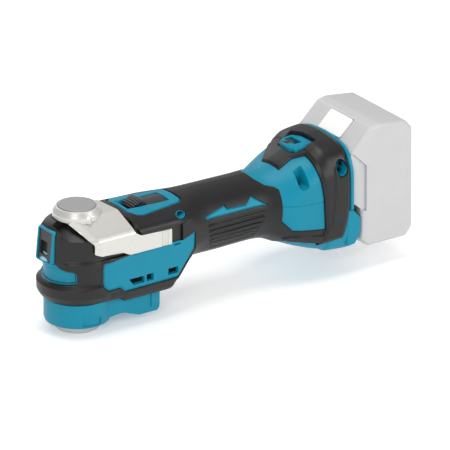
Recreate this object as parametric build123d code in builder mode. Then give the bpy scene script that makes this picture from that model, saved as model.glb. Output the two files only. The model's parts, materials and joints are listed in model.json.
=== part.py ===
"""Cordless oscillating multi tool with a swing-out clamp lever and a slide-on battery pack.

Row frame, millimetres: the origin is on the oscillating spindle's axis, at the lower face of the
accessory holder. +Z runs up the spindle, +X runs along the grip from the head to the battery pack,
and -Y is the flank that carries the clamp lever.
"""

import os
from math import cos, radians, sin

from build123d import *

os.makedirs("parts", exist_ok=True)

# ---- Driving dimensions -------------------------------------------------------------------
SHELL = 2.6                  # wall of the moulded casing
SKIN = 1.2                   # thickness of the rubber over-moulding
GAP = 0.3                    # play between pieces that are assembled side by side
FIT = 0.05                   # radial play of a running fit

HOLDER_R = 17.6              # outside of the accessory holder
HOLDER_H = 7.0
HOLDER_WALL = 5.7            # top of its full-width rim
COLLAR_R = 26.3              # teal collar round the holder
HEAD_R = 28.0                # casing round the spindle, under the rubber
HEAD_TOP = 87.0
BUMPER_R = 32.0              # rubber nose ring

MOTOR_HALF = 30.0            # half width of the motor section, under the rubber
MOTOR_BOTTOM = 27.0
MOTOR_TOP = 94.3
MOTOR_END = (73.0, 88.0)     # X where its underside starts and stops rising to the grip
GRIP_R = 26.0                # grip, under the rubber
AXIS_Z = 64.0                # height of the motor shaft and of the grip's centre line
GRIP_END = 156.0

TAIL_START = 184.0           # where the tail reaches its full size
TAIL_END = 235.0
TAIL_HALF = 36.0
TAIL_Z = (21.5, 103.0)
FLANGE_END = 244.0           # lower rear flange under the pack
FLANGE_TOP = 48.0
TAIL_BUMPER_HALF = 40.3

PACK_HALF = 37.5
PACK_END = 294.0
PACK_SEAM = 253.0
PACK_BOTTOM = 19.0

SPINDLE_R = 10.0
BORE_R = 5.2                 # bore of the hollow spindle
SPRING_BORE_R = 7.6          # its wider upper bore, round the disc springs
CLAMP_R = 5.1                # clamping shaft inside it
STATOR_R, ROTOR_R = 22.0, 12.0
STACK_X = (49.5, 76.5)       # laminated length of the motor
ECCENTRIC_R = 5.0
BEARING_R = 8.0              # outside of the motor's bearings
SEAT_R, SEAT_DEPTH = 12.8, 3.0
SHAFT_R = 3.0                # motor shaft
THROW = 0.94                 # eccentric's offset, for 1.8 degrees of swing at 30 mm
HUB_R = 19.2                 # lever hub
HUB_Z = (92.6, 101.6)
CAP_R = 15.0
LEVER_SCREW_R = 4.0
LEVER_OUT = 32.6             # lever's outer face, from the middle plane
LEVER_IN = 29.8
LEVER_BAND_Z = (64.4, 76.4)
LEVER_TIP = 67.5


def write(name, solid):
    """Labels a finished piece and writes it to parts/."""
    solid.label = name
    export_step(solid, f"parts/{name}.step")


def side_prism(points, low=-60.0, high=60.0, grow=0.0):
    """Prism of an X-Z outline moved outwards by grow, between two Y planes."""
    with BuildPart() as prism:
        with BuildSketch(Plane.XZ.offset(-high)):
            with BuildLine():
                Polyline(*points, close=True)
            make_face()
            if grow:
                offset(amount=grow, kind=Kind.INTERSECTION)
        extrude(amount=high - low)
    return prism.part


def top_prism(points, low, high, grow=0.0):
    """Prism of an X-Y outline moved outwards by grow, between two heights."""
    with BuildPart() as prism:
        with BuildSketch(Plane.XY.offset(low)):
            with BuildLine():
                Polyline(*points, close=True)
            make_face()
            if grow:
                offset(amount=grow, kind=Kind.INTERSECTION)
        extrude(amount=high - low)
    return prism.part


def spun(points):
    """Solid of revolution about the spindle's axis from a radius-height outline."""
    with BuildPart() as turned:
        with BuildSketch(Plane.XZ):
            with BuildLine():
                Polyline(*points, close=True)
            make_face()
        revolve(axis=Axis.Z)
    return turned.part


def block(x, y, z):
    """Box from three (low, high) spans."""
    with BuildPart() as box:
        with Locations(((x[0] + x[1]) / 2, (y[0] + y[1]) / 2, (z[0] + z[1]) / 2)):
            Box(x[1] - x[0], y[1] - y[0], z[1] - z[0])
    return box.part


def tube_z(outer, inner, low, high):
    """Ring or rod on the spindle's axis."""
    with BuildPart() as tube:
        with BuildSketch(Plane.XY.offset(low)):
            Circle(outer)
            if inner:
                Circle(inner, mode=Mode.SUBTRACT)
        extrude(amount=high - low)
    return tube.part


def tube_x(outer, inner, low, high, y=0.0, z=AXIS_Z):
    """Ring or rod parallel to the motor shaft."""
    with BuildPart() as tube:
        with BuildSketch(Plane.YZ.offset(low)):
            with Locations((y, z)):
                Circle(outer)
                if inner:
                    Circle(inner, mode=Mode.SUBTRACT)
        extrude(amount=high - low)
    return tube.part


def motor_section(grow):
    """Head and motor section: a stadium in plan with an arched roof and a rising tail."""
    half = MOTOR_HALF + grow
    nose = HEAD_R + grow
    low, high = MOTOR_BOTTOM - grow, MOTOR_TOP + grow
    roof_r = 10.0
    with BuildPart() as section:
        with BuildSketch(Plane.XY.offset(low)):
            with BuildLine():
                TangentArc((0, nose), (-nose, 0), tangent=(-1, 0))
                TangentArc((-nose, 0), (0, -nose), tangent=(0, -1))
                Polyline((0, -nose), (12, -half), (96 + grow, -half), (96 + grow, half), (12, half),
                         (0, nose))
            make_face()
        extrude(amount=high - low)
        with BuildSketch(Plane.YZ.offset(-60)):
            with BuildLine():
                Polyline((-half, low), (-half, 80), (-half + roof_r, high - 4), (-half + 2 * roof_r, high))
                Polyline((-half + 2 * roof_r, high), (half - 2 * roof_r, high), (half - roof_r, high - 4))
                Polyline((half - roof_r, high - 4), (half, 80), (half, low), (-half, low))
            make_face()
        extrude(amount=180, mode=Mode.INTERSECT)
        with BuildSketch(Plane.XZ.offset(-60)):
            with BuildLine():
                Polyline(
                    (-nose, low), (MOTOR_END[0] + grow, low), (MOTOR_END[1] + grow, 50 - grow),
                    (97 + grow, 50 - grow), (97 + grow, high - 1), (16, high), (-18, high - 2),
                    (-nose, HEAD_TOP + grow), close=True,
                )
            make_face()
        extrude(amount=120, mode=Mode.INTERSECT)
    return section.part


def grip_and_tail(grow):
    """Round grip that flares into the rounded box of the tail."""
    with BuildPart() as rear:
        with BuildSketch(Plane.YZ.offset(80)):
            with Locations((0, AXIS_Z)):
                Circle(GRIP_R + grow)
        extrude(amount=GRIP_END - 80)
        with BuildSketch(Plane.YZ.offset(GRIP_END)):
            with Locations((0, AXIS_Z)):
                Circle(GRIP_R + grow)
        with BuildSketch(Plane.YZ.offset(TAIL_START)):
            tail_outline(grow)
        loft()
        with BuildSketch(Plane.YZ.offset(TAIL_START)):
            tail_outline(grow)
        extrude(amount=TAIL_END - TAIL_START)
    return rear.part


def tail_outline(grow):
    """Adds the tail's rounded section to the sketch in progress."""
    tall = TAIL_Z[1] - TAIL_Z[0]
    with Locations((0, (TAIL_Z[0] + TAIL_Z[1]) / 2)):
        RectangleRounded(2 * (TAIL_HALF + grow), tall + 2 * grow, 17 + grow)


def body(grow):
    """Outer form of the whole casing, moved outwards by grow."""
    with BuildPart() as whole:
        add(motor_section(grow))
        add(grip_and_tail(grow))
    return whole.part


# ---- Outlines that several pieces share ---------------------------------------------------
SIDE_PANEL = [(4.5, 60.5), (22, 63.2), (69, 64), (79, 63), (91, 67.5), (90.3, 54), (76, 33.5), (25, 33),
              (20, 37.3), (9.5, 37), (4.5, 41)]
ACCENT = [(103, 73.2), (102.2, 76), (122, 81), (125, 78.6), (143.5, 78.4), (147, 82.3), (161, 73.4)]
TAIL_PANEL = [(171.5, 58), (171.5, 88), (150, 99), (172, 125), (250, 125), (250, 43), (182, 47)]
PAD = [(174, -19), (175, -24.5), (194, -18.5), (208, -20.5), (208, 20.5), (194, 18.5), (175, 24.5),
       (174, 19)]
SWITCH_PLATE = [(35.5, -17), (41, -22.5), (87, -16), (90, -11), (90, 11), (87, 16), (41, 22.5), (35.5, 17)]
SLOT_X, SLOT_HALF = (45.0, 80.0), 7.2
SLIDE_TRAVEL = 4.5
DIAL_PLATE = [(195.5, -17), (207, -18), (207, 18), (195.5, 17)]
DIAL_X = (197.5, 205.0)
DIAL_R, DIAL_Z = 14.0, 93.6
TAIL_BAND = [(203, 107), (209, 69), (210, 44), (203, 31), (227, 32), (232, 50), (233.7, 62), (233.7, 86),
             (228.5, 99), (221, 112), (205, 112)]
SCREWS = [(165.0, 50.0), (188.5, 80.0), (196.0, 36.0)]        # X, Z of the screws that join the halves
BOSS_R, SCREW_R, SCREW_HEAD_R = 4.4, 1.9, 3.3
BOSS_REACH = {165.0: 24.0, 188.5: 34.4, 196.0: 34.4}
LEVER_TURN = -24.0            # the lever swings out by this angle
FLANGE = [(TAIL_END - 2, 22.0), (240, 23), (FLANGE_END, 32), (FLANGE_END, FLANGE_TOP - 2),
          (TAIL_END, FLANGE_TOP + 6), (TAIL_END - 2, FLANGE_TOP + 6)]
VENTS = ((29.5, 13.0), (44.2, 6.8), (65.4, 9.0))              # start and length along X
VENT_Z = (36.5, 42.3)
UNDER = 91.9                  # casing's top under the lever's hub
CONE = [(13.0, UNDER), (28.1, 81.6)]     # casing's shoulder under the swinging strap, radius and height


# ---- Lever --------------------------------------------------------------------------------
def turned(x, y, angle, stretch=1.0):
    """Plan point turned about the spindle's axis and moved outwards."""
    c, s = cos(radians(angle)), sin(radians(angle))
    return ((x * c - y * s) * stretch, (x * s + y * c) * stretch)


def lever_space(under=0.0):
    """Space over the casing that the lever fills and sweeps, deepened by under."""
    top = UNDER - under
    band = LEVER_IN - 0.6 - under
    sweep = LEVER_TURN - 2
    front = [(0, 0), turned(-15, -14, sweep, 1.05), turned(-7.5, -29.4, sweep),
             turned(2.5, -LEVER_OUT, sweep, 1.6), (0, -60)]
    with BuildPart() as space:
        with BuildSketch(Plane.XZ):
            with BuildLine():
                Polyline(
                    (0, top), (CONE[0][0], top), (CONE[1][0] - under, CONE[1][1] - under),
                    (band, 79 - under),
                    (band, 67.8 - under), (90, 67.8 - under), (90, 130), (0, 130), close=True,
                )
            make_face()
        revolve(axis=Axis.Z)
        with BuildSketch(Plane.XY):
            with BuildLine():
                Polyline(*front, close=True)
            make_face()
        extrude(amount=140, mode=Mode.INTERSECT)
        with BuildSketch(Plane.XY.offset(top)):
            with BuildLine():
                Polyline((-12, 21), (-22, 0), (-22, -14), (0, -50), (34.2, -50), (34.2, -24),
                         (28.5, -12), (27.5, 12),
                         (17, 17.5), (-12, 21))
            make_face()
        extrude(amount=40)
        with BuildSketch(Plane.YZ.offset(-9)):
            with BuildLine():
                Polyline((-12, 130), (-12, top), (-28.2 + under, 81.6 - under),
                         (-29.3 + under, 80.2 - under),
                         (-60, 80.2 - under), (-60, 130), close=True)
            make_face()
        extrude(amount=43.2)
        # the band's recess in the flank and the finger recess behind its tip
        low, high = LEVER_BAND_Z[0] - 0.6, LEVER_BAND_Z[1] + 0.8
        recess = [(-9, low), (LEVER_TIP + 11, low), (LEVER_TIP + 11, high), (40.2, high + 0.4),
                  (34.2, 85), (34.2, 100), (-9, 100)]
        add(side_prism(recess, -60, -band, under))
    return space.part


with BuildPart() as clamp_lever:
    # plan outline of the hub and the arm
    with BuildSketch(Plane.XY.offset(60)):
        with BuildLine():
            Polyline((-15, -14), (-7.5, -29.4), (2.5, -LEVER_OUT), (LEVER_TIP, -LEVER_OUT),
                     (LEVER_TIP, -20), (32.5, -20), (27, -12), (26, 10), (16, 15), (-15, 12), (-15, -14))
        make_face()
    extrude(amount=37)
    # the strap: flat on top, sloping to the flank, then down it
    with BuildSketch(Plane.YZ.offset(-40)):
        with BuildLine():
            Polyline((20, 92.6), (20, 97), (-13, 97), (-30.4, 84), (-LEVER_OUT, 81.5), (-LEVER_OUT, 60),
                     (-LEVER_IN, 60), (-LEVER_IN, 80), (-28.6, 82.4), (-13.5, 92.6), (20, 92.6))
        make_face()
    extrude(amount=140, mode=Mode.INTERSECT)
    # flank outline of the band
    with BuildSketch(Plane.XZ.offset(-60)):
        with BuildLine():
            Polyline((-20, 69), (9, 69), (20, 71), (28, LEVER_BAND_Z[0] + 0.6),
                     (LEVER_TIP, LEVER_BAND_Z[0]), (LEVER_TIP, LEVER_BAND_Z[1]),
                     (39, LEVER_BAND_Z[1] + 0.6), (32.5, 84), (32.5, 104), (-20, 104), (-20, 69))
        make_face()
    extrude(amount=120, mode=Mode.INTERSECT)
    # hub with a coned edge
    with BuildSketch(Plane.XZ):
        with BuildLine():
            Polyline((0, HUB_Z[0]), (HUB_R, HUB_Z[0]), (HUB_R, HUB_Z[1] - 4), (CAP_R + 1.2, HUB_Z[1]),
                     (CAP_R + 0.2, HUB_Z[1]), (CAP_R + 0.2, HUB_Z[1] - 1.2), (0, HUB_Z[1] - 1.2),
                     close=True)
        make_face()
    revolve(axis=Axis.Z)
    # finger grooves near the tip
    with BuildSketch(Plane.XZ.offset(LEVER_OUT)):
        with Locations(*[(x, 70.5) for x in (59.0, 61.4, 63.8)]):
            Rectangle(1.0, 16)
    extrude(amount=-0.5, mode=Mode.SUBTRACT)
    add(block((32.4, 60), (-LEVER_IN, 20), (60, 110)), mode=Mode.SUBTRACT)
    with Locations((0, 0, HUB_Z[1] - 1.2)):
        Hole(LEVER_SCREW_R + 0.1)
write("clamp_lever", clamp_lever.part)

with BuildPart() as lever_cap:
    with BuildSketch(Plane.XY.offset(HUB_Z[1] - 0.6)):
        Circle(CAP_R)
    extrude(amount=1.5)
    chamfer(lever_cap.edges().sort_by(Axis.Z)[-1], 0.5)
write("lever_cap", lever_cap.part)

with BuildPart() as lever_screw:
    with BuildSketch(Plane.XY.offset(90.6)):
        Circle(LEVER_SCREW_R)
    extrude(amount=10.2)
    with BuildSketch(Plane.XY.offset(100.8)):
        RegularPolygon(2.0, 6)
    extrude(amount=-1.8, mode=Mode.SUBTRACT)
write("lever_screw", lever_screw.part)

# ---- Casing halves and rubber skins -------------------------------------------------------
swept = lever_space()

with BuildPart() as hollow:
    add(body(-SHELL))
    add(lever_space(SHELL), mode=Mode.SUBTRACT)

with BuildPart() as flange:
    with BuildSketch(Plane.YZ.offset(TAIL_END - 2)):
        tail_outline(-1.0)
    extrude(amount=FLANGE_END - TAIL_END + 2)
    add(side_prism(FLANGE), mode=Mode.INTERSECT)
    add(block((TAIL_END - 3, TAIL_END + 6), (-32.5, 32.5), (28, 60)), mode=Mode.SUBTRACT)

with BuildPart() as casing:
    add(body(0))
    add(hollow.part, mode=Mode.SUBTRACT)
    add(flange.part)
    # bosses across the tail for the joining screws
    for x, z in SCREWS:
        with BuildSketch(Plane.XZ.offset(-BOSS_REACH[x])):
            with Locations((x, z)):
                Circle(BOSS_R)
        extrude(amount=2 * BOSS_REACH[x])
        with BuildSketch(Plane.XZ.offset(-20)):
            with Locations((x, z)):
                Circle(SCREW_R)
        extrude(amount=60, mode=Mode.SUBTRACT)
        with BuildSketch(Plane.XZ.offset(20)):
            with Locations((x, z)):
                Circle(SCREW_HEAD_R)
        extrude(amount=40, mode=Mode.SUBTRACT)
    add(top_prism(SWITCH_PLATE, 84, 110), mode=Mode.SUBTRACT)
    add(top_prism(DIAL_PLATE, 94, 120), mode=Mode.SUBTRACT)
    add(block((-60, -24), (-11, 11), (58, 90)), mode=Mode.SUBTRACT)
    add(swept, mode=Mode.SUBTRACT)
    # the head opens downwards over the gear case and upwards under the lever's hub
    add(tube_z(25.2, 0, 15, 32), mode=Mode.SUBTRACT)
    add(tube_z(12.0, 0, 80, 99), mode=Mode.SUBTRACT)
    # the back of the tail is open for the terminals
    add(block((TAIL_END - 6, TAIL_END + 3), (-15, 15), (66, 88)), mode=Mode.SUBTRACT)
    # cooling vents on both flanks
    for x, length in VENTS:
        add(block((x, x + length), (-60, 60), VENT_Z), mode=Mode.SUBTRACT)

with BuildPart() as skin:
    add(body(SKIN))
    add(body(0), mode=Mode.SUBTRACT)
    add(swept, mode=Mode.SUBTRACT)
    add(side_prism(SIDE_PANEL), mode=Mode.SUBTRACT)
    add(side_prism(ACCENT), mode=Mode.SUBTRACT)
    add(side_prism(TAIL_PANEL), mode=Mode.SUBTRACT)
    add(side_prism(TAIL_BAND, grow=GAP), mode=Mode.SUBTRACT)
    add(block((TAIL_END, TAIL_END + 5), (-60, 60), (0, 130)), mode=Mode.SUBTRACT)
    add(top_prism(SWITCH_PLATE, 84, 110), mode=Mode.SUBTRACT)
    add(block((-60, -20), (-12.3, 12.3), (50, 95)), mode=Mode.SUBTRACT)
    # the front of the head stays bare above the nose bumper, as does its underside
    add(block((-60, 3), (-60, 60), (20, 57.5)), mode=Mode.SUBTRACT)
    add(block((-40, 67), (-22.3, 22.3), (20, 30)), mode=Mode.SUBTRACT)
    add(tube_z(26.7, 0, 15, 32), mode=Mode.SUBTRACT)
    add(tube_z(12.0, 0, 80, 99), mode=Mode.SUBTRACT)
    # wells for the screw heads on the lever's flank
    for x, z in SCREWS:
        with BuildSketch(Plane.XZ):
            with Locations((x, z)):
                Circle(SCREW_HEAD_R + 0.6)
        extrude(amount=60, mode=Mode.SUBTRACT)

for side, keep in (("left", Keep.TOP), ("right", Keep.BOTTOM)):
    with BuildPart() as housing:
        add(casing.part)
        split(bisect_by=Plane.XZ, keep=keep)
    write(f"housing_{side}", housing.part)
    with BuildPart() as grip_skin:
        add(skin.part)
        split(bisect_by=Plane.XZ, keep=keep)
    write(f"rubber_skin_{side}", grip_skin.part.solids().sort_by(SortBy.VOLUME)[-1])

with BuildPart() as housing_screws:
    for x, z in SCREWS:
        with BuildSketch(Plane.XZ.offset(-19)):
            with Locations((x, z)):
                Circle(SCREW_R)
        extrude(amount=39)
        with BuildSketch(Plane.XZ.offset(20)):
            with Locations((x, z)):
                Circle(SCREW_HEAD_R - 0.2)
        extrude(amount=2.6)
write("housing_screws", housing_screws.part)

with BuildPart() as head_bumper:
    with BuildSketch(Plane.XZ):
        with BuildLine():
            Polyline((26.6, 23.4), (31.7, 35), (BUMPER_R, 41.4), (29.2, 47), (28.0, 47), (28.0, 27.0),
                     (26.6, 27.0), close=True)
        make_face()
    revolve(axis=Axis.Z)
    add(block((2.8, 60), (-60, 60), (0, 90)), mode=Mode.SUBTRACT)
    add(body(0), mode=Mode.SUBTRACT)
write("head_bumper", head_bumper.part)

# ---- Work light in the nose ---------------------------------------------------------------
LED_X = -32.3
with BuildPart() as led_bezel:
    add(block((LED_X, -24.5), (-10.7, 10.7), (58.3, 89)))
    add(block((LED_X, -29.6), (-12, 12), (57.8, 88.5)))
    add(side_prism([(LED_X - 1, 70), (LED_X - 1, 95), (-20, 95), (-20, 91.5), (-27, 89.5),
                    (LED_X + 3, 86.5),
                    (LED_X, 76)]), mode=Mode.SUBTRACT)
    add(block((LED_X - 1, -26.5), (-8, 8), (62, 84.5)), mode=Mode.SUBTRACT)
    add(swept, mode=Mode.SUBTRACT)
write("led_bezel", led_bezel.part)

with BuildPart() as led_panel:
    add(block((-29.0, -26.5), (-7.8, 7.8), (62.2, 84.3)))
    add(block((-30, -26.0), (-4.4, 4.4), (68.5, 78.5)), mode=Mode.SUBTRACT)
write("led_panel", led_panel.part)

with BuildPart() as led_lens:
    add(block((-28.0, -26.6), (-4.2, 4.2), (68.7, 78.3)))
write("led_lens", led_lens.part)

# ---- Lower cover with its collar ----------------------------------------------------------
COVER_HOLE_R, COVER_BORE_R, COVER_TOP = 18.3, 24.95, 26.9
FAIRING = [(8, COVER_TOP), (8, 9.5), (24, 11.4), (29, 11.2), (43.7, 6.0), (60.4, 6.0), (62.6, 8.2),
           (62.6, 22), (66, 25), (66, COVER_TOP)]
# shallow pocket in the collar on the lever's side
with BuildPart() as collar_pocket:
    add(tube_z(COLLAR_R + 1, COLLAR_R - 0.9, 9.2, 14.8))
    add(block((-11.0, 4.6), (-40, -10), (0, 30)), mode=Mode.INTERSECT)

with BuildPart() as lower_cover:
    add(spun([(COVER_HOLE_R, 6.0), (22.4, 6.0), (25.4, 7.4), (COLLAR_R, 10.0), (COLLAR_R, COVER_TOP),
              (COVER_BORE_R, COVER_TOP), (COVER_BORE_R, 9.0), (COVER_HOLE_R, 9.0)]))
    add(side_prism(FAIRING, -22, 22))
    add(side_prism([(54.6, 10.4), (62.4, 10.4), (62.4, 22), (54.6, 23.6)], -22.8, 22.8))
    add(side_prism([(26, 30), (26, 14.5), (60, 14.5), (60, 30)], -19, 19), mode=Mode.SUBTRACT)
    add(tube_z(COVER_BORE_R, 0, 9.0, 30), mode=Mode.SUBTRACT)
    add(tube_z(COVER_HOLE_R, 0, 0, 12), mode=Mode.SUBTRACT)
    add(collar_pocket.part, mode=Mode.SUBTRACT)
write("lower_cover", lower_cover.part)

# ---- Switch and speed dial ----------------------------------------------------------------
with BuildPart() as switch_bezel:
    add(body(SKIN + 0.3))
    add(body(-1.6), mode=Mode.SUBTRACT)
    add(top_prism(SWITCH_PLATE, 84, 110, -0.15), mode=Mode.INTERSECT)
    add(block(SLOT_X, (-SLOT_HALF, SLOT_HALF), (80, 110)), mode=Mode.SUBTRACT)
write("switch_bezel", switch_bezel.part)

with BuildPart() as switch_slider:
    add(block((45.8, 86), (-8, 8), (90.0, 91.5)))
    add(block((49.8, 79.5), (-6.9, 6.9), (91.5, 94.0)))
    add(side_prism([(49.8, 94.0), (50.6, 98.6), (57.4, 98.6), (60.4, 94.0)], -6.9, 6.9))
    for x in (52.1, 54.0, 55.9):
        add(block((x - 0.35, x + 0.35), (-6.9, 6.9), (98.0, 99)), mode=Mode.SUBTRACT)
write("switch_slider", switch_slider.part)

with BuildPart() as switch_link:
    add(block((60, 93.4), (-4, 4), (87.4, 89.4)))
    add(block((62, 70), (-3.9, 3.9), (89.4, 90.0)))
    add(block((90.8, 93.4), (-4, 4), (77, 87.4)))
write("switch_link", switch_link.part)

with BuildPart() as switch_unit:
    add(block((100, 126), (-8, 8), (68, 84)))
    add(block((94, 100), (-2, 2), (78, 82)))
write("switch_unit", switch_unit.part)

with BuildPart() as tail_pad:
    add(body(3.0))
    add(body(0), mode=Mode.SUBTRACT)
    add(top_prism(PAD, 84, 120), mode=Mode.INTERSECT)
    add(top_prism(DIAL_PLATE, 84, 120, 0.15), mode=Mode.SUBTRACT)
write("tail_pad", tail_pad.part)

with BuildPart() as dial_bezel:
    add(body(3.4))
    add(body(-1.8), mode=Mode.SUBTRACT)
    add(top_prism(DIAL_PLATE, 94, 120, -0.15), mode=Mode.INTERSECT)
    add(tube_x(DIAL_R + 0.6, 0, *DIAL_X, 0, DIAL_Z), mode=Mode.SUBTRACT)
write("dial_bezel", dial_bezel.part)

with BuildPart() as dial_wheel:
    add(tube_x(DIAL_R, 2.05, DIAL_X[0] + 0.5, DIAL_X[1] - 0.5, 0, DIAL_Z))
    with BuildSketch(Plane.YZ.offset(DIAL_X[0])):
        with Locations((0, DIAL_Z)):
            with PolarLocations(DIAL_R + 0.3, 32):
                Circle(0.7)
    extrude(amount=10, mode=Mode.SUBTRACT)
write("dial_wheel", dial_wheel.part)

with BuildPart() as dial_potentiometer:
    add(block((DIAL_X[0] - 4, DIAL_X[0] - 0.5), (-8, 8), (DIAL_Z - 8, DIAL_Z + 6)))
    add(tube_x(2.0, 0, DIAL_X[0] - 0.5, DIAL_X[1] - 0.3, 0, DIAL_Z))
write("dial_potentiometer", dial_potentiometer.part)

# ---- Tail bumper --------------------------------------------------------------------------
with BuildPart() as tail_bumper:
    with BuildSketch(Plane.YZ.offset(200)):
        tail_outline(TAIL_BUMPER_HALF - TAIL_HALF)
    extrude(amount=35)
    add(body(0), mode=Mode.SUBTRACT)
    add(side_prism(TAIL_BAND), mode=Mode.INTERSECT)
    add(block((200, TAIL_END), (-60, 60), (0, 31.0)), mode=Mode.SUBTRACT)
    add(top_prism(DIAL_PLATE, 94, 120, 0.15), mode=Mode.SUBTRACT)
    add(top_prism(PAD, 84, 120, 0.15), mode=Mode.SUBTRACT)
write("tail_bumper", tail_bumper.part)

# ---- Spindle train ------------------------------------------------------------------------
with BuildPart() as spindle:
    add(spun([(BORE_R, SEAT_DEPTH), (SPINDLE_R, SEAT_DEPTH), (SPINDLE_R, 86.0), (SPRING_BORE_R, 86.0),
              (SPRING_BORE_R, 60.0), (BORE_R, 60.0)]))
write("spindle", spindle.part)

with BuildPart() as tool_holder:
    add(spun([(SEAT_R, 0), (HOLDER_R - 0.8, 0), (HOLDER_R, 0.8), (HOLDER_R, HOLDER_WALL),
              (HOLDER_R - 1.4, HOLDER_WALL), (HOLDER_R - 1.4, HOLDER_H), (SPINDLE_R, HOLDER_H),
              (SPINDLE_R, SEAT_DEPTH), (SEAT_R, SEAT_DEPTH)]))
    # lobes of the accessory seat
    with BuildSketch(Plane.XY):
        with PolarLocations(SEAT_R, 12):
            Circle(1.5)
    extrude(amount=SEAT_DEPTH, mode=Mode.SUBTRACT)
write("tool_holder", tool_holder.part)

with BuildPart() as swing_fork:
    add(tube_z(15.0, SPINDLE_R, 58, 70))
    add(block((6, 33.5), (11.2, 16), (59, 69)))
    add(block((6, 33.5), (-16, -11.2), (59, 69)))
    add(tube_z(SPINDLE_R, 0, 50, 80), mode=Mode.SUBTRACT)
write("swing_fork", swing_fork.part)

LOWER_BEARING_R, LOWER_BEARING_Z = 18.0, (12.5, 22.0)
UPPER_BEARING_R, UPPER_BEARING_Z = 17.0, (73.5, 83.5)
write("lower_bearing", tube_z(LOWER_BEARING_R, SPINDLE_R + FIT, *LOWER_BEARING_Z))
write("upper_bearing", tube_z(UPPER_BEARING_R, SPINDLE_R + FIT, *UPPER_BEARING_Z))
write("spindle_seal", tube_z(17.8, SPINDLE_R + FIT, 9.4, 11.6))

with BuildPart() as gear_case:
    add(spun([(10.8, 12), (24.8, 12), (24.8, 78.3), (14, 86.3), (10.8, 86.3)]))
    add(tube_z(LOWER_BEARING_R, 0, 12, LOWER_BEARING_Z[1]), mode=Mode.SUBTRACT)
    add(tube_z(20.0, 0, 24.5, 72), mode=Mode.SUBTRACT)
    add(tube_z(UPPER_BEARING_R, 0, *UPPER_BEARING_Z), mode=Mode.SUBTRACT)
    # window for the fork and the eccentric's bearing
    add(block((18, 40), (-18, 18), (54.5, 73.2)), mode=Mode.SUBTRACT)
    add(block((22.4, 40), (-12, 12), (AXIS_Z - 10.8, AXIS_Z + 10.8)), mode=Mode.SUBTRACT)
    add(block((10, 20), (-18, 18), (57, 71)), mode=Mode.SUBTRACT)
    add(block((-30, -23.5), (-11, 11), (56, 90)), mode=Mode.SUBTRACT)
write("gear_case", gear_case.part)

with BuildPart() as clamp_rod:
    add(tube_z(CLAMP_R, 0, 2.0, 89.6))
    add(tube_z(SPRING_BORE_R - 0.3, CLAMP_R, 80.0, 82.5))
write("clamp_rod", clamp_rod.part)

with BuildPart() as clamp_jaws:
    add(tube_z(9.0, 0, 0.4, 2.0))
    with BuildSketch(Plane.XY.offset(0.4)):
        with PolarLocations(9.2, 4):
            Circle(1.6)
    extrude(amount=1.6)
write("clamp_jaws", clamp_jaws.part)

# disc springs stacked on the rod
with BuildPart() as clamp_spring:
    turns, pitch, low = 6, 3.3, 60.0
    outer = [(7.2 if i % 2 else 5.9, low + i * pitch / 2) for i in range(2 * turns + 1)]
    inner = [(r - 0.7, z) for r, z in reversed(outer)]
    add(spun(outer + inner))
write("clamp_spring", clamp_spring.part)

# ---- Motor --------------------------------------------------------------------------------
with BuildPart() as motor_shaft:
    add(tube_x(SHAFT_R, 0, 22, 87))
write("motor_shaft", motor_shaft.part)

with BuildPart() as rotor_core:
    add(tube_x(ROTOR_R, SHAFT_R, *STACK_X))
write("rotor_core", rotor_core.part)

with BuildPart() as cooling_fan:
    add(tube_x(7.0, SHAFT_R, 40.6, 48))
    add(tube_x(21.0, 6.9, 46.6, 48))
    with BuildSketch(Plane.YZ.offset(40.8)):
        with Locations((0, AXIS_Z)):
            with PolarLocations(13.5, 11):
                Rectangle(14.6, 1.2)
    extrude(amount=6)
write("cooling_fan", cooling_fan.part)

with BuildPart() as eccentric:
    add(tube_x(ECCENTRIC_R, 0, 23.5, 33.0, THROW))
    add(tube_x(SHAFT_R, 0, 20, 40), mode=Mode.SUBTRACT)
write("eccentric", eccentric.part)
write("eccentric_bearing", tube_x(9.0, ECCENTRIC_R, 24.0, 32.5, THROW))

with BuildPart() as stator_core:
    add(tube_x(STATOR_R, 18.0, *STACK_X))
    with BuildSketch(Plane.YZ.offset(STACK_X[0])):
        with Locations((0, AXIS_Z)):
            with PolarLocations(15.5, 6):
                Rectangle(6, 5)
    extrude(amount=STACK_X[1] - STACK_X[0])
write("stator_core", stator_core.part)

with BuildPart() as stator_windings:
    with BuildSketch(Plane.YZ.offset(STACK_X[0] - 1.4)):
        with Locations((0, AXIS_Z)):
            with PolarLocations(15.4, 6):
                Rectangle(3.6, 9)
    extrude(amount=STACK_X[1] - STACK_X[0] + 2.8)
    add(stator_core.part, mode=Mode.SUBTRACT)
write("stator_windings", stator_windings.part)

FRONT_BEARING_X, REAR_BEARING_X = (35.5, 39.5), (82.0, 86.0)
write("front_motor_bearing", tube_x(BEARING_R, SHAFT_R + FIT, *FRONT_BEARING_X))
write("rear_motor_bearing", tube_x(BEARING_R, SHAFT_R + FIT, *REAR_BEARING_X))

with BuildPart() as motor_frame:
    add(block((34.5, 39.8), (-26.4, 26.4), (45, 79)))
    add(tube_x(BEARING_R, 0, *FRONT_BEARING_X), mode=Mode.SUBTRACT)
    add(tube_x(SHAFT_R + 1, 0, 30, 45), mode=Mode.SUBTRACT)
write("motor_frame", motor_frame.part)

with BuildPart() as motor_end_plate:
    add(block((81.6, 86.4), (-20, 20), (54, 74)))
    add(tube_x(BEARING_R, 0, *REAR_BEARING_X), mode=Mode.SUBTRACT)
    add(tube_x(SHAFT_R + 1, 0, 80, 95), mode=Mode.SUBTRACT)
write("motor_end_plate", motor_end_plate.part)

with BuildPart() as vibration_dampers:
    with Locations(*[(44, y, z) for y in (-23.8, 23.8) for z in (52, 74)]):
        Box(7, 5, 9)
write("vibration_dampers", vibration_dampers.part)

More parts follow.
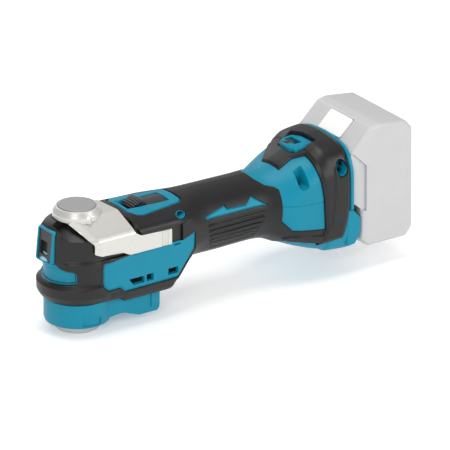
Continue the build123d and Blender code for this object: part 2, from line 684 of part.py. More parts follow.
# ---- Electronics in the tail --------------------------------------------------------------
with BuildPart() as controller_board:
    add(block((176, 224), (-20, 20), (46, 60)))
    add(block((178, 222), (-18, 18), (50, 61)), mode=Mode.SUBTRACT)
    add(block((178, 222), (-18, 18), (52, 54)))
    with Locations(*[(x, y, 56) for x in (186, 200, 214) for y in (-9, 9)]):
        Box(7, 6, 4)
write("controller_board", controller_board.part)

with BuildPart() as terminal_block:
    add(block((226, 235.6), (-14.5, 14.5), (66.5, 87.5)))
    for y in (-9.0, 0.0, 9.0):
        add(block((235.6, 240.6), (y - 0.4, y + 0.4), (68, 84)))
write("terminal_block", terminal_block.part)

with BuildPart() as dock_rails:
    for sign in (-1, 1):
        add(block((TAIL_END, 238.2), (23.0, 26.0) if sign > 0 else (-26.0, -23.0), (60, 99)))
        add(block((238.2, 240.6), (23.0, 29.0) if sign > 0 else (-29.0, -23.0), (60, 99)))
write("dock_rails", dock_rails.part)

# ---- Battery pack -------------------------------------------------------------------------
PACK_FRONT = 236.0
PACK_OUTLINE = [(PACK_FRONT, 56.5), (PACK_FRONT, 101), (238.6, 104.5), (254, 119), (262, 120.5), (288, 117),
                (PACK_END, 110), (PACK_END, 26), (288, PACK_BOTTOM), (252, PACK_BOTTOM), (245.2, 26),
                (245.2, 52), (240, 56.5)]
SIDE_STEP = [(230, 100.5), (237, 100.5), (249.6, 88), (249.6, 50), (230, 50)]
STEP_HALF = 35.4             # half width of the pack's narrower front


def pack_form(shrink):
    """The pack's outer form moved inwards by shrink."""
    with BuildPart() as pack:
        add(side_prism(PACK_OUTLINE, -PACK_HALF + shrink, PACK_HALF - shrink, -shrink))
        if not shrink:
            across = [e for e in pack.edges().filter_by(Axis.Y) if e.center().X > 250]
            fillet([e for e in across if e.center().X > 286 or e.center().Z > 112], 4.0)
            rims = [e for e in pack.edges() if abs(e.center().Y) > PACK_HALF - 0.01]
            fillet([e for e in rims if e.center().X > 245 and abs(e.tangent_at(0.5).Y) < 0.01], 3.2)
    return pack.part


BUTTON_SPRING_R = 3.4
BUTTON_PLANE = Plane(origin=(246.4, 0, 111.9), x_dir=(0, 1, 0), z_dir=(-0.685, 0, 0.7285))
PACK_WALL = 2.4
GAUGE_AT, GAUGE_R = (-8, 65), 3.1                             # charge gauge's button on the far end
pack_shape = pack_form(0)

# solid front and crown round the rail grooves, the terminal slot and the button pocket
with BuildPart() as pack_front:
    add(block((200, 250.8), (-STEP_HALF, STEP_HALF), (54, 108)))
    add(block((PACK_FRONT, PACK_SEAM), (-22, 22), (98, 130)))
    add(pack_shape, mode=Mode.INTERSECT)

with BuildPart() as pack_body:
    add(pack_shape)
    add(pack_form(PACK_WALL), mode=Mode.SUBTRACT)
    add(pack_front.part)
    add(side_prism(SIDE_STEP, -60, -STEP_HALF), mode=Mode.SUBTRACT)
    add(side_prism(SIDE_STEP, STEP_HALF, 60), mode=Mode.SUBTRACT)
    for sign in (-1, 1):
        add(block((230, 241.4), (22.2, 29.8) if sign > 0 else (-29.8, -22.2),
                  (50, 99.8)), mode=Mode.SUBTRACT)
    add(block((230, 242.4), (-15.3, 15.3), (50, 88.5)), mode=Mode.SUBTRACT)
    with BuildSketch(BUTTON_PLANE.offset(2)):
        Rectangle(30, 19)
    extrude(amount=-10.4, mode=Mode.SUBTRACT)
    # pockets on the far end for the charge gauge
    add(block((PACK_END - 1.4, PACK_END + 1), (-13, 13), (60, 70)), mode=Mode.SUBTRACT)
    with BuildSketch(Plane.YZ.offset(PACK_END - 4)):
        with Locations(GAUGE_AT):
            Circle(GAUGE_R + 0.3)
    extrude(amount=6, mode=Mode.SUBTRACT)

for name, span in (("pack_case", (200, PACK_SEAM)), ("pack_cover", (PACK_SEAM, 300))):
    with BuildPart() as shell:
        add(pack_body.part)
        add(block(span, (-60, 60), (0, 140)), mode=Mode.INTERSECT)
    write(name, shell.part)

with BuildPart() as battery_button:
    with BuildSketch(BUTTON_PLANE.offset(0.9)):
        RectangleRounded(29.2, 18.2, 1.5)
    extrude(amount=-6)
    # pocket that takes the spring as the button goes down
    with BuildSketch(BUTTON_PLANE.offset(-5.1)):
        Circle(BUTTON_SPRING_R + 0.5)
    extrude(amount=2.5, mode=Mode.SUBTRACT)
write("battery_button", battery_button.part)

with BuildPart() as button_spring:
    with BuildSketch(BUTTON_PLANE.offset(-8.3)):
        Circle(BUTTON_SPRING_R)
        Circle(BUTTON_SPRING_R - 1, mode=Mode.SUBTRACT)
    extrude(amount=3.1)
write("button_spring", button_spring.part)

CELL_R, CELL_PITCH, CELL_LOW = 9.1, 18.3, 30.9
with BuildPart() as battery_cells:
    with BuildSketch(Plane.XZ.offset(-32.5)):
        with Locations(*[(x, CELL_LOW + row * CELL_PITCH) for x in (263.2, 281.8) for row in range(5)]):
            Circle(CELL_R)
    extrude(amount=65)
write("battery_cells", battery_cells.part)

write("pack_board", block((251.0, 252.8), (-26, 26), (58, 96)))
with BuildPart() as gauge_window:
    add(block((PACK_END - 1.3, PACK_END - 0.1), (-12.8, 12.8), (60.2, 69.8)))
    with BuildSketch(Plane.YZ.offset(PACK_END - 2)):
        with Locations(GAUGE_AT):
            Circle(GAUGE_R + 0.3)
    extrude(amount=4, mode=Mode.SUBTRACT)
write("gauge_window", gauge_window.part)
with BuildPart() as gauge_button:
    with BuildSketch(Plane.YZ.offset(PACK_END - 2.2)):
        with Locations(GAUGE_AT):
            Circle(GAUGE_R)
    extrude(amount=2.6)
write("gauge_button", gauge_button.part)
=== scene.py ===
import json
import logging
import math
from dataclasses import dataclass, field
from enum import Enum
from typing import Sequence

import bmesh
import bpy
import numpy as np
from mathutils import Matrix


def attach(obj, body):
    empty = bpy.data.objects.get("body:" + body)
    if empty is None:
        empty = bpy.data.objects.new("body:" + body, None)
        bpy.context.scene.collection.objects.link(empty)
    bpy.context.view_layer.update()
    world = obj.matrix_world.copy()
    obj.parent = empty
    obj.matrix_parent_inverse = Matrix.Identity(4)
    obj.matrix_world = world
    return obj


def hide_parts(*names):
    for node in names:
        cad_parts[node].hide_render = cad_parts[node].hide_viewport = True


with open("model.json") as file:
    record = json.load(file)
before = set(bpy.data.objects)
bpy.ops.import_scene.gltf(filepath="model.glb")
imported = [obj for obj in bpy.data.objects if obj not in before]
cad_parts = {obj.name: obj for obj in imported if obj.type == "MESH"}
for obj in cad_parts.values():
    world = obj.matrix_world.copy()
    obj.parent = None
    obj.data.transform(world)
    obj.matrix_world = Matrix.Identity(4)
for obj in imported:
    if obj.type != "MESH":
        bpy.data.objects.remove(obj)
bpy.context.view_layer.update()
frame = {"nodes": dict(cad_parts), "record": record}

Array = np.ndarray
Points = Sequence[tuple[float, float]]
LOG = logging.getLogger("multi_tool")
MM = 0.001                      # shapes below are worked out in millimetres
NOSE_RADIUS = 28.0              # of the casing's plan round the head
SEAT_TOP = 91.5                 # of the casing under the lever's hub
STRAP_FOLD_Z = 76.4             # where the lever's strap has turned down into its flank


# ---- Shader wiring ------------------------------------------------------------------------
class Wire:
    """A shader socket that takes part in arithmetic."""

    def __init__(self, tree: bpy.types.NodeTree, socket: bpy.types.NodeSocket) -> None:
        """Keeps the socket and the tree it is in."""
        self.tree, self.socket = tree, socket

    def _math(self, operation: str, first: "Wire | float", second: "Wire | float") -> "Wire":
        """Adds one Math node.

        Args:
            operation: the Math node's operation.
            first: a wire or a number for its first input.
            second: a wire or a number for its second input.

        Returns:
            The node's result.
        """
        node = self.tree.nodes.new("ShaderNodeMath")
        node.operation = operation
        for slot, value in zip(node.inputs, (first, second)):
            if isinstance(value, Wire):
                self.tree.links.new(value.socket, slot)
            else:
                slot.default_value = value
        return Wire(self.tree, node.outputs[0])

    def __add__(self, other: "Wire | float") -> "Wire":
        """Sum."""
        return self._math("ADD", self, other)

    __radd__ = __add__

    def __mul__(self, other: "Wire | float") -> "Wire":
        """Product."""
        return self._math("MULTIPLY", self, other)

    __rmul__ = __mul__

    def __sub__(self, other: "Wire | float") -> "Wire":
        """Difference."""
        return self._math("SUBTRACT", self, other)

    def __rsub__(self, other: "Wire | float") -> "Wire":
        """Difference, with this wire taken from the number."""
        return self._math("SUBTRACT", other, self)


class Paint:
    """One material while its nodes are being added."""

    def __init__(self, name: str) -> None:
        """Starts a material that holds a Principled shader."""
        self.material = bpy.data.materials.new(name)
        self.material.use_nodes = True
        self.tree = self.material.node_tree
        self.shader = self.tree.nodes["Principled BSDF"]

    def node(self, kind: str, settings: dict | None = None, inputs: dict | None = None,
             out: int | str = 0) -> Wire:
        """Adds any node.

        Args:
            kind: the node's type.
            settings: properties to set first.
            inputs: values or wires for its sockets, by name or index.
            out: the output that is returned.

        Returns:
            The chosen output.
        """
        made = self.tree.nodes.new(kind)
        for key, value in (settings or {}).items():
            setattr(made, key, value)
        for key, value in (inputs or {}).items():
            if isinstance(value, Wire):
                self.tree.links.new(value.socket, made.inputs[key])
            else:
                made.inputs[key].default_value = value
        return Wire(self.tree, made.outputs[out])

    def place(self) -> Wire:
        """Object coordinates, in metres."""
        return self.node("ShaderNodeTexCoord", out="Object")

    def noise(self, scale: float, detail: float = 3.0) -> Wire:
        """Noise from 0 to 1 over the piece."""
        inputs = {"Vector": self.place(), "Scale": scale, "Detail": detail}
        return self.node("ShaderNodeTexNoise", inputs=inputs, out="Fac")

    def mix(self, mask: "Wire | float", first: tuple, second: tuple) -> Wire:
        """Colour that goes from first to second as the mask goes from 0 to 1."""
        return self.node("ShaderNodeMix", {"data_type": "RGBA"}, {0: mask, 6: first, 7: second}, out=2)

    def set(self, **values: "Wire | float | tuple") -> None:
        """Sets or links the shader's own sockets.

        Args:
            values: a number, colour or wire by the socket's name, with underscores for its spaces.
        """
        for key, value in values.items():
            slot = self.shader.inputs[key.replace("_", " ")]
            if isinstance(value, Wire):
                self.tree.links.new(value.socket, slot)
            else:
                slot.default_value = value

    def bump(self, height: Wire, strength: float, distance: float) -> Wire:
        """Normal bent by a height."""
        inputs = {"Height": height, "Strength": strength, "Distance": distance}
        return self.node("ShaderNodeBump", inputs=inputs)


def tint(red: int, green: int, blue: int) -> tuple[float, float, float, float]:
    """Linear colour from eight-bit display values."""
    shares = (red, green, blue)
    return (*[((c / 255 + 0.055) / 1.055) ** 2.4 if c > 10 else c / 255 / 12.92 for c in shares], 1.0)


@dataclass(frozen=True)
class Moulded:
    """Plastic or rubber with a fine spark-eroded grain and a slightly uneven gloss."""

    name: str
    colour: tuple
    shade: tuple
    roughness: float
    grain_mm: float = 0.35
    grain_depth_mm: float = 0.02
    coat: float = 0.0
    specular: float = 0.5

    def build(self) -> bpy.types.Material:
        """Makes the material.

        Returns:
            The material, with all of its nodes.
        """
        paint = Paint(self.name)
        cloud = paint.noise(70.0, 2.0)
        grain = paint.noise(1.0 / (self.grain_mm * MM), 2.0)
        paint.set(Base_Color=paint.mix(cloud, self.shade, self.colour))
        paint.set(Roughness=cloud * 0.08 + grain * 0.06 + (self.roughness - 0.07))
        paint.set(Normal=paint.bump(grain, 0.5, self.grain_depth_mm * MM))
        paint.set(Coat_Weight=self.coat, Coat_Roughness=0.3)
        paint.shader.inputs["Specular IOR Level"].default_value = self.specular
        return paint.material


@dataclass(frozen=True)
class Cast:
    """Metal with a fine speckle: lacquered casting, ground steel or wire."""

    name: str
    colour: tuple
    shade: tuple
    roughness: float
    metallic: float = 1.0
    speckle_mm: float = 0.5
    coat: float = 0.0

    def build(self) -> bpy.types.Material:
        """Makes the material.

        Returns:
            The material, with all of its nodes.
        """
        paint = Paint(self.name)
        speckle = paint.noise(1.0 / (self.speckle_mm * MM), 4.0)
        paint.set(Base_Color=paint.mix(speckle, self.shade, self.colour))
        paint.set(Roughness=speckle * 0.12 + (self.roughness - 0.06), Metallic=self.metallic)
        paint.set(Normal=paint.bump(speckle, 0.25, 0.012 * MM))
        paint.set(Coat_Weight=self.coat, Coat_Roughness=0.25)
        return paint.material


class Finish(Enum):
    """The finishes of the tool, by the record's material slots and a few more."""

    TEAL = Moulded("teal_plastic", tint(0, 129, 154), tint(0, 120, 146), 0.42, specular=0.24)
    RUBBER = Moulded("black_rubber", tint(17, 16, 18), tint(12, 12, 13), 0.42, 0.5, 0.04, specular=0.4)
    DARK = Moulded("dark_plastic", tint(40, 39, 42), tint(33, 32, 35), 0.4)
    # near-black and dull: painted shade, put behind the vents and under the switch where the inside is dark
    PIT = Moulded("pit_black", tint(8, 8, 9), tint(5, 5, 6), 0.8, specular=0.1)
    SILVER = Cast("cast_silver", tint(212, 211, 206), tint(188, 187, 182), 0.36, 0.55, 0.45, 0.2)
    CAP = Cast("brushed_cap", tint(158, 158, 158), tint(146, 146, 146), 0.5, 0.45, 0.4)
    STEEL = Cast("steel", tint(205, 203, 200), tint(180, 178, 176), 0.24)
    DARK_STEEL = Cast("dark_steel", tint(74, 72, 72), tint(60, 58, 58), 0.35)
    COPPER = Cast("copper", tint(190, 110, 60), tint(160, 84, 44), 0.35)
    PACK = Moulded("pack_grey", tint(186, 186, 187), tint(180, 180, 181), 0.38)
    PALE = Moulded("pale_plastic", tint(240, 240, 236), tint(236, 236, 232), 0.35)
    # opaque pale blue: the clear lens's own tint together with a painted reflection of the light
    LENS = Moulded("clear_lens", tint(150, 200, 214), tint(140, 190, 206), 0.12, coat=0.6)
    BOARD = Moulded("green_board", tint(24, 92, 52), tint(20, 80, 45), 0.4)


MADE: dict[Finish, bpy.types.Material] = {}


def material(finish: Finish) -> bpy.types.Material:
    """The finish's material, made once.

    Args:
        finish: which finish.

    Returns:
        Its material.
    """
    if finish not in MADE:
        MADE[finish] = finish.value.build()
    return MADE[finish]


# ---- Meshes -------------------------------------------------------------------------------
def smooth_step(value: Array, low: float, high: float) -> Array:
    """0 below low, 1 above high, and a cubic S between them."""
    t = np.clip((value - low) / (high - low), 0.0, 1.0)
    return t * t * (3 - 2 * t)


def outline_distance(outline: Points, u: Array, v: Array) -> Array:
    """Signed distance from points to a closed outline, negative inside.

    The distance is the least over the outline's edges of the distance to that stretch, and the sign comes
    from how many edges a ray to the right crosses.

    Args:
        outline: the corners in order.
        u: first coordinate of the points.
        v: second coordinate of the points.

    Returns:
        Distances in the outline's units.
    """
    least = np.full(u.shape, np.inf)
    inside = np.zeros(u.shape, bool)
    for (au, av), (bu, bv) in zip(outline, [*outline[1:], outline[0]]):
        du, dv = bu - au, bv - av
        along = np.clip(((u - au) * du + (v - av) * dv) / (du * du + dv * dv), 0.0, 1.0)
        least = np.minimum(least, np.hypot(u - au - along * du, v - av - along * dv))
        crosses = (av > v) != (bv > v)
        with np.errstate(divide="ignore", invalid="ignore"):
            inside ^= crosses & (u < au + (v - av) * du / np.where(dv == 0, 1e-12, dv))
    return np.where(inside, -least, least)


def add_mesh(name: str, vertices: Array, faces: list[Array], finish: Finish,
             sharp: float = 40.0) -> bpy.types.Object:
    """Makes an object from whole arrays.

    Args:
        name: the object's name.
        vertices: N x 3, in millimetres.
        faces: arrays of M x 3 or M x 4 vertex indices.
        finish: what it is made of.
        sharp: edges that turn more than this many degrees shade as corners.

    Returns:
        The object, at the origin.
    """
    mesh = bpy.data.meshes.new(name)
    loops = np.concatenate([f.ravel() for f in faces]).astype(np.int32)
    counts = np.concatenate([np.full(len(f), f.shape[1]) for f in faces]).astype(np.int32)
    starts = np.concatenate([[0], np.cumsum(counts)[:-1]]).astype(np.int32)
    mesh.vertices.add(len(vertices))
    mesh.vertices.foreach_set("co", (vertices * MM).astype(np.float32).ravel())
    mesh.loops.add(len(loops))
    mesh.loops.foreach_set("vertex_index", loops)
    mesh.polygons.add(len(counts))
    mesh.polygons.foreach_set("loop_start", starts)
    mesh.polygons.foreach_set("loop_total", counts)
    mesh.update(calc_edges=True)
    mesh.validate()
    mesh.polygons.foreach_set("use_smooth", np.ones(len(mesh.polygons), bool))
    mesh.set_sharp_from_angle(angle=math.radians(sharp))
    mesh.materials.append(material(finish))
    piece = bpy.data.objects.new(name, mesh)
    bpy.context.scene.collection.objects.link(piece)
    return piece


def grid_faces(rows: int, columns: int, close_columns: bool = False) -> Array:
    """Quads of a grid whose vertices are numbered along its columns first.

    Args:
        rows: number of vertex rows.
        columns: number of vertex columns.
        close_columns: whether the last column joins the first.

    Returns:
        M x 4 vertex indices.
    """
    index = np.arange(rows * columns).reshape(rows, columns)
    if close_columns:
        index = np.hstack([index, index[:, :1]])
    return np.stack([index[:-1, :-1], index[1:, :-1], index[1:, 1:], index[:-1, 1:]], -1).reshape(-1, 4)


def surface(name: str, grid: Array, finish: Finish, ring: bool = False, flip: bool = False,
            caps: bool = False, sharp: float = 40.0, shown: Array | None = None) -> bpy.types.Object:
    """Makes a piece from a grid of points.

    Args:
        name: the piece's name.
        grid: rows x columns x 3, in millimetres.
        finish: what it is made of.
        ring: whether each row is a closed ring.
        flip: turns the faces round.
        caps: whether to close both end rows with a fan from their centre.
        sharp: edges that turn more than this many degrees shade as corners.
        shown: which points are wanted; a face goes where any of its corners isn't.

    Returns:
        The object.
    """
    rows, columns = grid.shape[:2]
    vertices, faces = [grid.reshape(-1, 3)], [grid_faces(rows, columns, close_columns=ring)]
    if caps:
        for row, turn in ((grid[0], False), (grid[-1], True)):
            start = sum(len(v) for v in vertices)
            around = np.arange(columns)
            fan = np.stack([np.full(columns, start), start + 1 + around,
                            start + 1 + (around + 1) % columns], -1)
            vertices.append(np.vstack([row.mean(0, keepdims=True), row]))
            faces.append(fan[:, ::-1] if not turn else fan)
    if flip:
        faces = [f[:, ::-1] for f in faces]
    points = np.vstack(vertices)
    if shown is not None:
        faces = [f[shown.ravel()[f].all(-1)] for f in faces]
        used, numbers = np.unique(np.concatenate([f.ravel() for f in faces]), return_inverse=True)
        points, faces = points[used], [numbers.reshape(-1, 4)]
    return add_mesh(name, points, faces, finish, sharp)


def soft_path(points: Points, radius: float | Sequence[float], step: float = 1.0, closed: bool = True) -> Array:
    """Outline whose corners are arcs, sampled evenly enough for a smooth surface.

    Each corner is cut by the arc that touches both its edges; the arc's reach along an edge is the radius
    times the tangent of half the turn. Straight runs are divided into steps.

    Args:
        points: the corners.
        radius: one radius, or one for each corner.
        step: longest stretch between samples.
        closed: whether the last corner joins the first.

    Returns:
        N x 2 points.
    """
    corners = np.array(points, float)
    count = len(corners)
    radii = np.broadcast_to(np.array(radius, float), count)
    path = []
    for i, corner in enumerate(corners):
        if not closed and i in (0, count - 1):
            path.append(corner[None])
            continue
        before, after = corners[i - 1] - corner, corners[(i + 1) % count] - corner
        len_before, len_after = np.linalg.norm(before), np.linalg.norm(after)
        before, after = before / len_before, after / len_after
        half_turn = (math.pi - math.acos(np.clip(before @ after, -1, 1))) / 2
        reach = min(radii[i] * math.tan(half_turn), 0.49 * len_before, 0.49 * len_after)
        if reach < 1e-4 or half_turn < 1e-3:
            path.append(corner[None])
            continue
        r = reach / math.tan(half_turn)
        centre = corner + (before + after) / np.linalg.norm(before + after) * math.hypot(r, reach)
        start, end = corner + before * reach - centre, corner + after * reach - centre
        turn = np.linspace(0, 1, 2 + int(2 * half_turn / 0.2))[:, None] * 2 * half_turn
        sign = np.sign(start[0] * end[1] - start[1] * end[0])
        path.append(centre + start * np.cos(turn) + sign * np.array([-start[1], start[0]]) * np.sin(turn))
    path = np.vstack(path)
    if closed:
        path = np.vstack([path, path[:1]])
    gaps = np.linalg.norm(np.diff(path, axis=0), axis=1)
    fill = [np.linspace(a, b, max(1, int(math.ceil(gap / step))), endpoint=False)
            for a, b, gap in zip(path, path[1:], gaps)]
    return np.vstack(fill if closed else [*fill, path[-1:]])


def pillow(name: str, outline: Array, half: float, edge: float, finish: Finish, middle: float = 0.0,
           crown: float = 0.0) -> bpy.types.Object:
    """Rounded slab: an X-Z outline carried across Y, drawn in along a quarter circle towards both flat ends.

    Args:
        name: the piece's name.
        outline: N x 2 closed outline.
        half: half width.
        edge: radius of the rounding of its two rims.
        finish: what it is made of.
        middle: Y of its middle.
        crown: how far the top stands higher at the middle than at the ends.

    Returns:
        The object.
    """
    ahead, behind = np.roll(outline, -1, 0), np.roll(outline, 1, 0)
    along = ahead - behind
    along /= np.linalg.norm(along, axis=1, keepdims=True)
    inward = np.stack([-along[:, 1], along[:, 0]], 1)
    area = np.sum(outline[:, 0] * ahead[:, 1] - ahead[:, 0] * outline[:, 1])
    inward *= np.sign(area)
    angle = np.radians(np.linspace(0, 90, 6))
    flat = half - edge
    across = np.concatenate([-(flat + edge * np.cos(angle)), np.linspace(-flat, flat, 17)[1:-1],
                             flat + edge * np.cos(angle[::-1])])
    inset = np.concatenate([edge * (1 - np.sin(angle)), np.zeros(15), edge * (1 - np.sin(angle[::-1]))])
    rings = outline[None] + inward[None] * inset[:, None, None]
    lift = crown * (1 - (across / half) ** 2)[:, None] * (rings[..., 1] > outline[:, 1].mean())
    y = np.broadcast_to(across[:, None] + middle, rings.shape[:2])
    grid = np.stack([rings[..., 0], y, rings[..., 1] + lift], -1)
    return surface(name, grid, finish, ring=True, caps=True, flip=area > 0, sharp=30.0)


def lathe(name: str, profile: Array, finish: Finish, steps: int = 96, centre: tuple = (0.0, 0.0, 0.0),
          along: str = "z") -> bpy.types.Object:
    """Turned piece: a radius-height profile carried round an axis, with both ends closed on the axis.

    Args:
        name: the piece's name.
        profile: N x 2 radii and heights, from one end to the other.
        finish: what it is made of.
        steps: points round it.
        centre: a point on the axis.
        along: the axis, z or y; along y the height counts towards -Y.

    Returns:
        The object.
    """
    around = np.linspace(0, 2 * math.pi, steps, endpoint=False)
    radius, height = profile[:, 0][:, None], np.broadcast_to(profile[:, 1][:, None], (len(profile), steps))
    a, b = radius * np.cos(around), radius * np.sin(around)
    grid = np.stack([a, b, height] if along == "z" else [a, -height, b], -1) + np.array(centre)
    return surface(name, grid, finish, ring=True, caps=True, flip=True, sharp=30.0)


def rounded_box_path(half: float, low: float, high: float, radius: float, count: int = 24) -> Array:
    """Rounded rectangle, as four quarter arcs.

    Args:
        half: half of its width.
        low: its lower edge.
        high: its upper edge.
        radius: radius of its corners.
        count: points on each arc.

    Returns:
        4 count x 2 points.
    """
    quarter = np.radians(np.linspace(0, 90, count))
    centres = ((half - radius, high - radius), (radius - half, high - radius), (radius - half, low + radius),
               (half - radius, low + radius))
    turns = [quarter + k * math.pi / 2 for k in range(4)]
    arcs = [np.stack([y + radius * np.cos(turn), z + radius * np.sin(turn)], 1)
            for (y, z), turn in zip(centres, turns)]
    return np.vstack(arcs)


def place_piece(piece: bpy.types.Object, body: str, *nodes: str, slot: str | None = None) -> bpy.types.Object:
    """Rides a piece on a body and stands it in for CAD nodes.

    Args:
        piece: the piece.
        body: the body it rides on.
        nodes: the CAD nodes it stands for, if any.
        slot: its material slot, where it isn't the first node's; it is looked at but not used.

    Returns:
        The piece.
    """
    if nodes:
        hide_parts(*nodes)
    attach(piece, body)
    slot or slot_of(nodes[0])
    return piece


def dressed(node: str, finish: Finish, bevel_mm: float, angle: float = 28.0) -> bpy.types.Object:
    """Copies a CAD node's mesh, merges it, rounds its corners and stands it in for the node.

    Args:
        node: the CAD node.
        finish: what it is made of.
        bevel_mm: radius of the rounding.
        angle: corners that turn more than this many degrees are rounded.

    Returns:
        The copy.
    """
    mesh = frame["nodes"][node].data.copy()
    mesh.name = node + "_made"
    work = bmesh.new()
    work.from_mesh(mesh)
    bmesh.ops.remove_doubles(work, verts=work.verts, dist=0.004 * MM)
    bmesh.ops.dissolve_limit(work, angle_limit=math.radians(1.0), verts=work.verts, edges=work.edges)
    for face in work.faces:
        face.smooth = True
    work.to_mesh(mesh)
    work.free()
    mesh.set_sharp_from_angle(angle=math.radians(angle))
    mesh.materials.clear()
    mesh.materials.append(material(finish))
    piece = bpy.data.objects.new(node + "_made", mesh)
    bpy.context.scene.collection.objects.link(piece)
    rounding = piece.modifiers.new("rounding", "BEVEL")
    rounding.width = bevel_mm * MM
    rounding.segments = 2
    rounding.limit_method = "ANGLE"
    rounding.angle_limit = math.radians(angle)
    rounding.harden_normals = True
    rounding.use_clamp_overlap = True
    return place_piece(piece, body_of(node), node)


def body_of(node: str) -> str:
    """The body that a CAD node is on."""
    return next(body for body, nodes in frame["record"]["behaviour"]["bodies"].items() if node in nodes)


def slot_of(node: str) -> str:
    """The record's material slot of a CAD node."""
    return next(part["material_slot"] for part in frame["record"]["subparts"] if part["node"] == node)


# ---- The casing's form --------------------------------------------------------------------
class Side(Enum):
    """The casing's two halves: the lever is on the left one."""

    LEFT = -1
    RIGHT = 1


@dataclass
class CasingForm:
    """The casing as one surface of two parameters.

    The first parameter runs round the nose and then straight back along a flank. The second climbs the half
    section there from its lowest to its highest point. A half section is a rounded polygon: its reach R in the
    direction T from the motor axis is the p-norm of its walls, 1/R = (sum of (cos(T - T_k) / d_k)^p)^(1/p),
    where wall k stands at distance d_k in direction T_k. The distances come from a table of stations.
    """

    axis_z: float = 64.0
    nose_radius: float = NOSE_RADIUS
    blend: float = 26.0
    directions: tuple = (-90, -60, -30, 0, 25, 43, 62, 81, 90)
    # place along the casing, then the walls' distances; from -30 to 0 it is round the nose
    stations: tuple = (
        (-30, (37.0, 46.0, 43.0, 27.8, 35.3, 36.0, 33.8, 31.2, 28.8)),
        (0, (37.0, 46.0, 43.0, 27.8, 35.3, 36.0, 33.8, 31.2, 28.8)),
        (12, (37.0, 46.4, 44.6, 30.0, 34.8, 34.3, 33.6, 29.6, 29.4)),
        (40, (37.0, 46.4, 44.6, 30.0, 34.8, 34.3, 32.2, 27.6, 26.8)),
        (72, (37.0, 46.4, 44.6, 30.0, 34.6, 33.8, 31.2, 26.0, 25.2)),
        (88, (26.4, 28.0, 32.6, 29.8, 32.0, 31.0, 29.0, 25.8, 25.2)),
        (97, (26.2, 26.2, 27.6, 28.4, 28.8, 28.2, 27.4, 26.4, 26.0)),
        (108, (26.2, 26.2, 26.2, 26.6, 26.8, 26.9, 26.9, 26.9, 26.9)),
        (122, (26.4, 26.4, 26.4, 26.5, 26.6, 26.7, 26.7, 26.7, 26.7)),
        (150, (26.0, 26.0, 26.0, 26.0, 26.1, 26.2, 26.2, 26.2, 26.2)),
        (160, (26.0, 26.2, 26.3, 26.6, 26.4, 26.4, 26.3, 26.2, 26.2)),
        (168, (26.6, 27.2, 28.4, 29.0, 28.6, 27.4, 26.8, 27.0, 27.0)),
        (174, (29.0, 31.0, 32.4, 32.2, 31.4, 29.6, 28.6, 28.4, 28.4)),
        (181, (32.6, 35.2, 37.0, 34.8, 34.2, 33.2, 31.6, 31.0, 31.0)),
        (190, (36.4, 40.2, 42.0, 36.0, 37.6, 37.6, 35.8, 35.0, 34.8)),
        (201, (39.8, 45.8, 45.8, 36.2, 40.6, 41.8, 40.6, 38.6, 38.2)),
        (213, (42.6, 50.6, 48.4, 36.2, 42.6, 45.0, 44.2, 40.8, 40.0)),
        (231, (43.8, 52.6, 49.4, 36.2, 43.6, 46.4, 46.2, 41.8, 40.8)),
        (246, (43.8, 52.6, 49.4, 36.2, 43.6, 46.4, 46.2, 41.8, 40.8)),
    )

    def walls(self, x: Array) -> Array:
        """Distances of every wall: the stations' table read off straight and blurred with a bell.

        Args:
            x: places along the casing.

        Returns:
            Walls x places, in millimetres.
        """
        places = np.array([s[0] for s in self.stations], float)
        table = np.array([s[1] for s in self.stations], float)
        fine = np.arange(-34.0, 250.0, 0.5)
        width = 3.0
        bell = np.exp(-0.5 * (np.arange(-12, 12.5, 0.5) / width) ** 2)
        bell /= bell.sum()
        result = []
        for column in table.T:
            raw = np.interp(fine, places, column)
            padded = np.pad(raw, len(bell) // 2, mode="edge")
            result.append(np.interp(x, fine, np.convolve(padded, bell, mode="valid")))
        return np.stack(result)

    def climb(self, count: int, at: float) -> Array:
        """Directions that cut the section at one place into equal lengths.

        Args:
            count: how many directions.
            at: the place.

        Returns:
            Directions from straight down to straight up, in radians.
        """
        fine = np.radians(np.linspace(-90.0, 90.0, 2000))
        reach = self.reach(np.full(fine.shape, at), fine)
        x, z = reach * np.cos(fine), reach * np.sin(fine)
        length = np.concatenate([[0], np.cumsum(np.hypot(np.diff(x), np.diff(z)))])
        return np.interp(np.linspace(0, length[-1], count), length, fine)

    def reach(self, x: Array, direction: Array) -> Array:
        """Distance from the motor axis to the surface, by the formula above.

        Args:
            x: places along the casing.
            direction: directions up from the horizontal, in radians.

        Returns:
            Distances in millimetres.
        """
        walls = self.walls(x)
        total = np.zeros(np.broadcast(x, direction).shape)
        for angle, distance in zip(np.radians(self.directions), walls):
            total += (np.maximum(np.cos(direction - angle), 0.0) / distance) ** self.blend
        return total ** (-1 / self.blend)

    def patch(self, side: Side, stretch: tuple[float, float], columns: int, rows: int) -> "Patch":
        """The bare form over one stretch of a flank.

        Args:
            side: which half.
            stretch: first and last place along it; places below 0 are round the nose.
            columns: points along it.
            rows: points up the section.

        Returns:
            The patch, ready for its details.
        """
        quarter = self.nose_radius * math.pi / 2
        lengths = [quarter * (1 + p / 30) if p < 0 else quarter + p for p in stretch]
        s = np.linspace(*lengths, columns)
        place = np.where(s < quarter, (s / quarter - 1) * 30, s - quarter)
        turn = np.clip(s / quarter, 0, 1) * math.pi / 2
        climb = self.climb(rows, (stretch[0] + stretch[1]) / 2 if stretch[0] > 0 else 20.0)
        place_grid, climb_grid = np.meshgrid(place, climb, indexing="ij")
        turn_grid = np.broadcast_to(turn[:, None], place_grid.shape)
        reach = self.reach(place_grid, climb_grid)
        out, up = reach * np.cos(climb_grid), reach * np.sin(climb_grid)
        x = np.maximum(place_grid, 0) - out * np.cos(turn_grid)
        y = side.value * out * np.sin(turn_grid)
        return Patch(side, place_grid, turn_grid, np.stack([x, y, up + self.axis_z], -1))


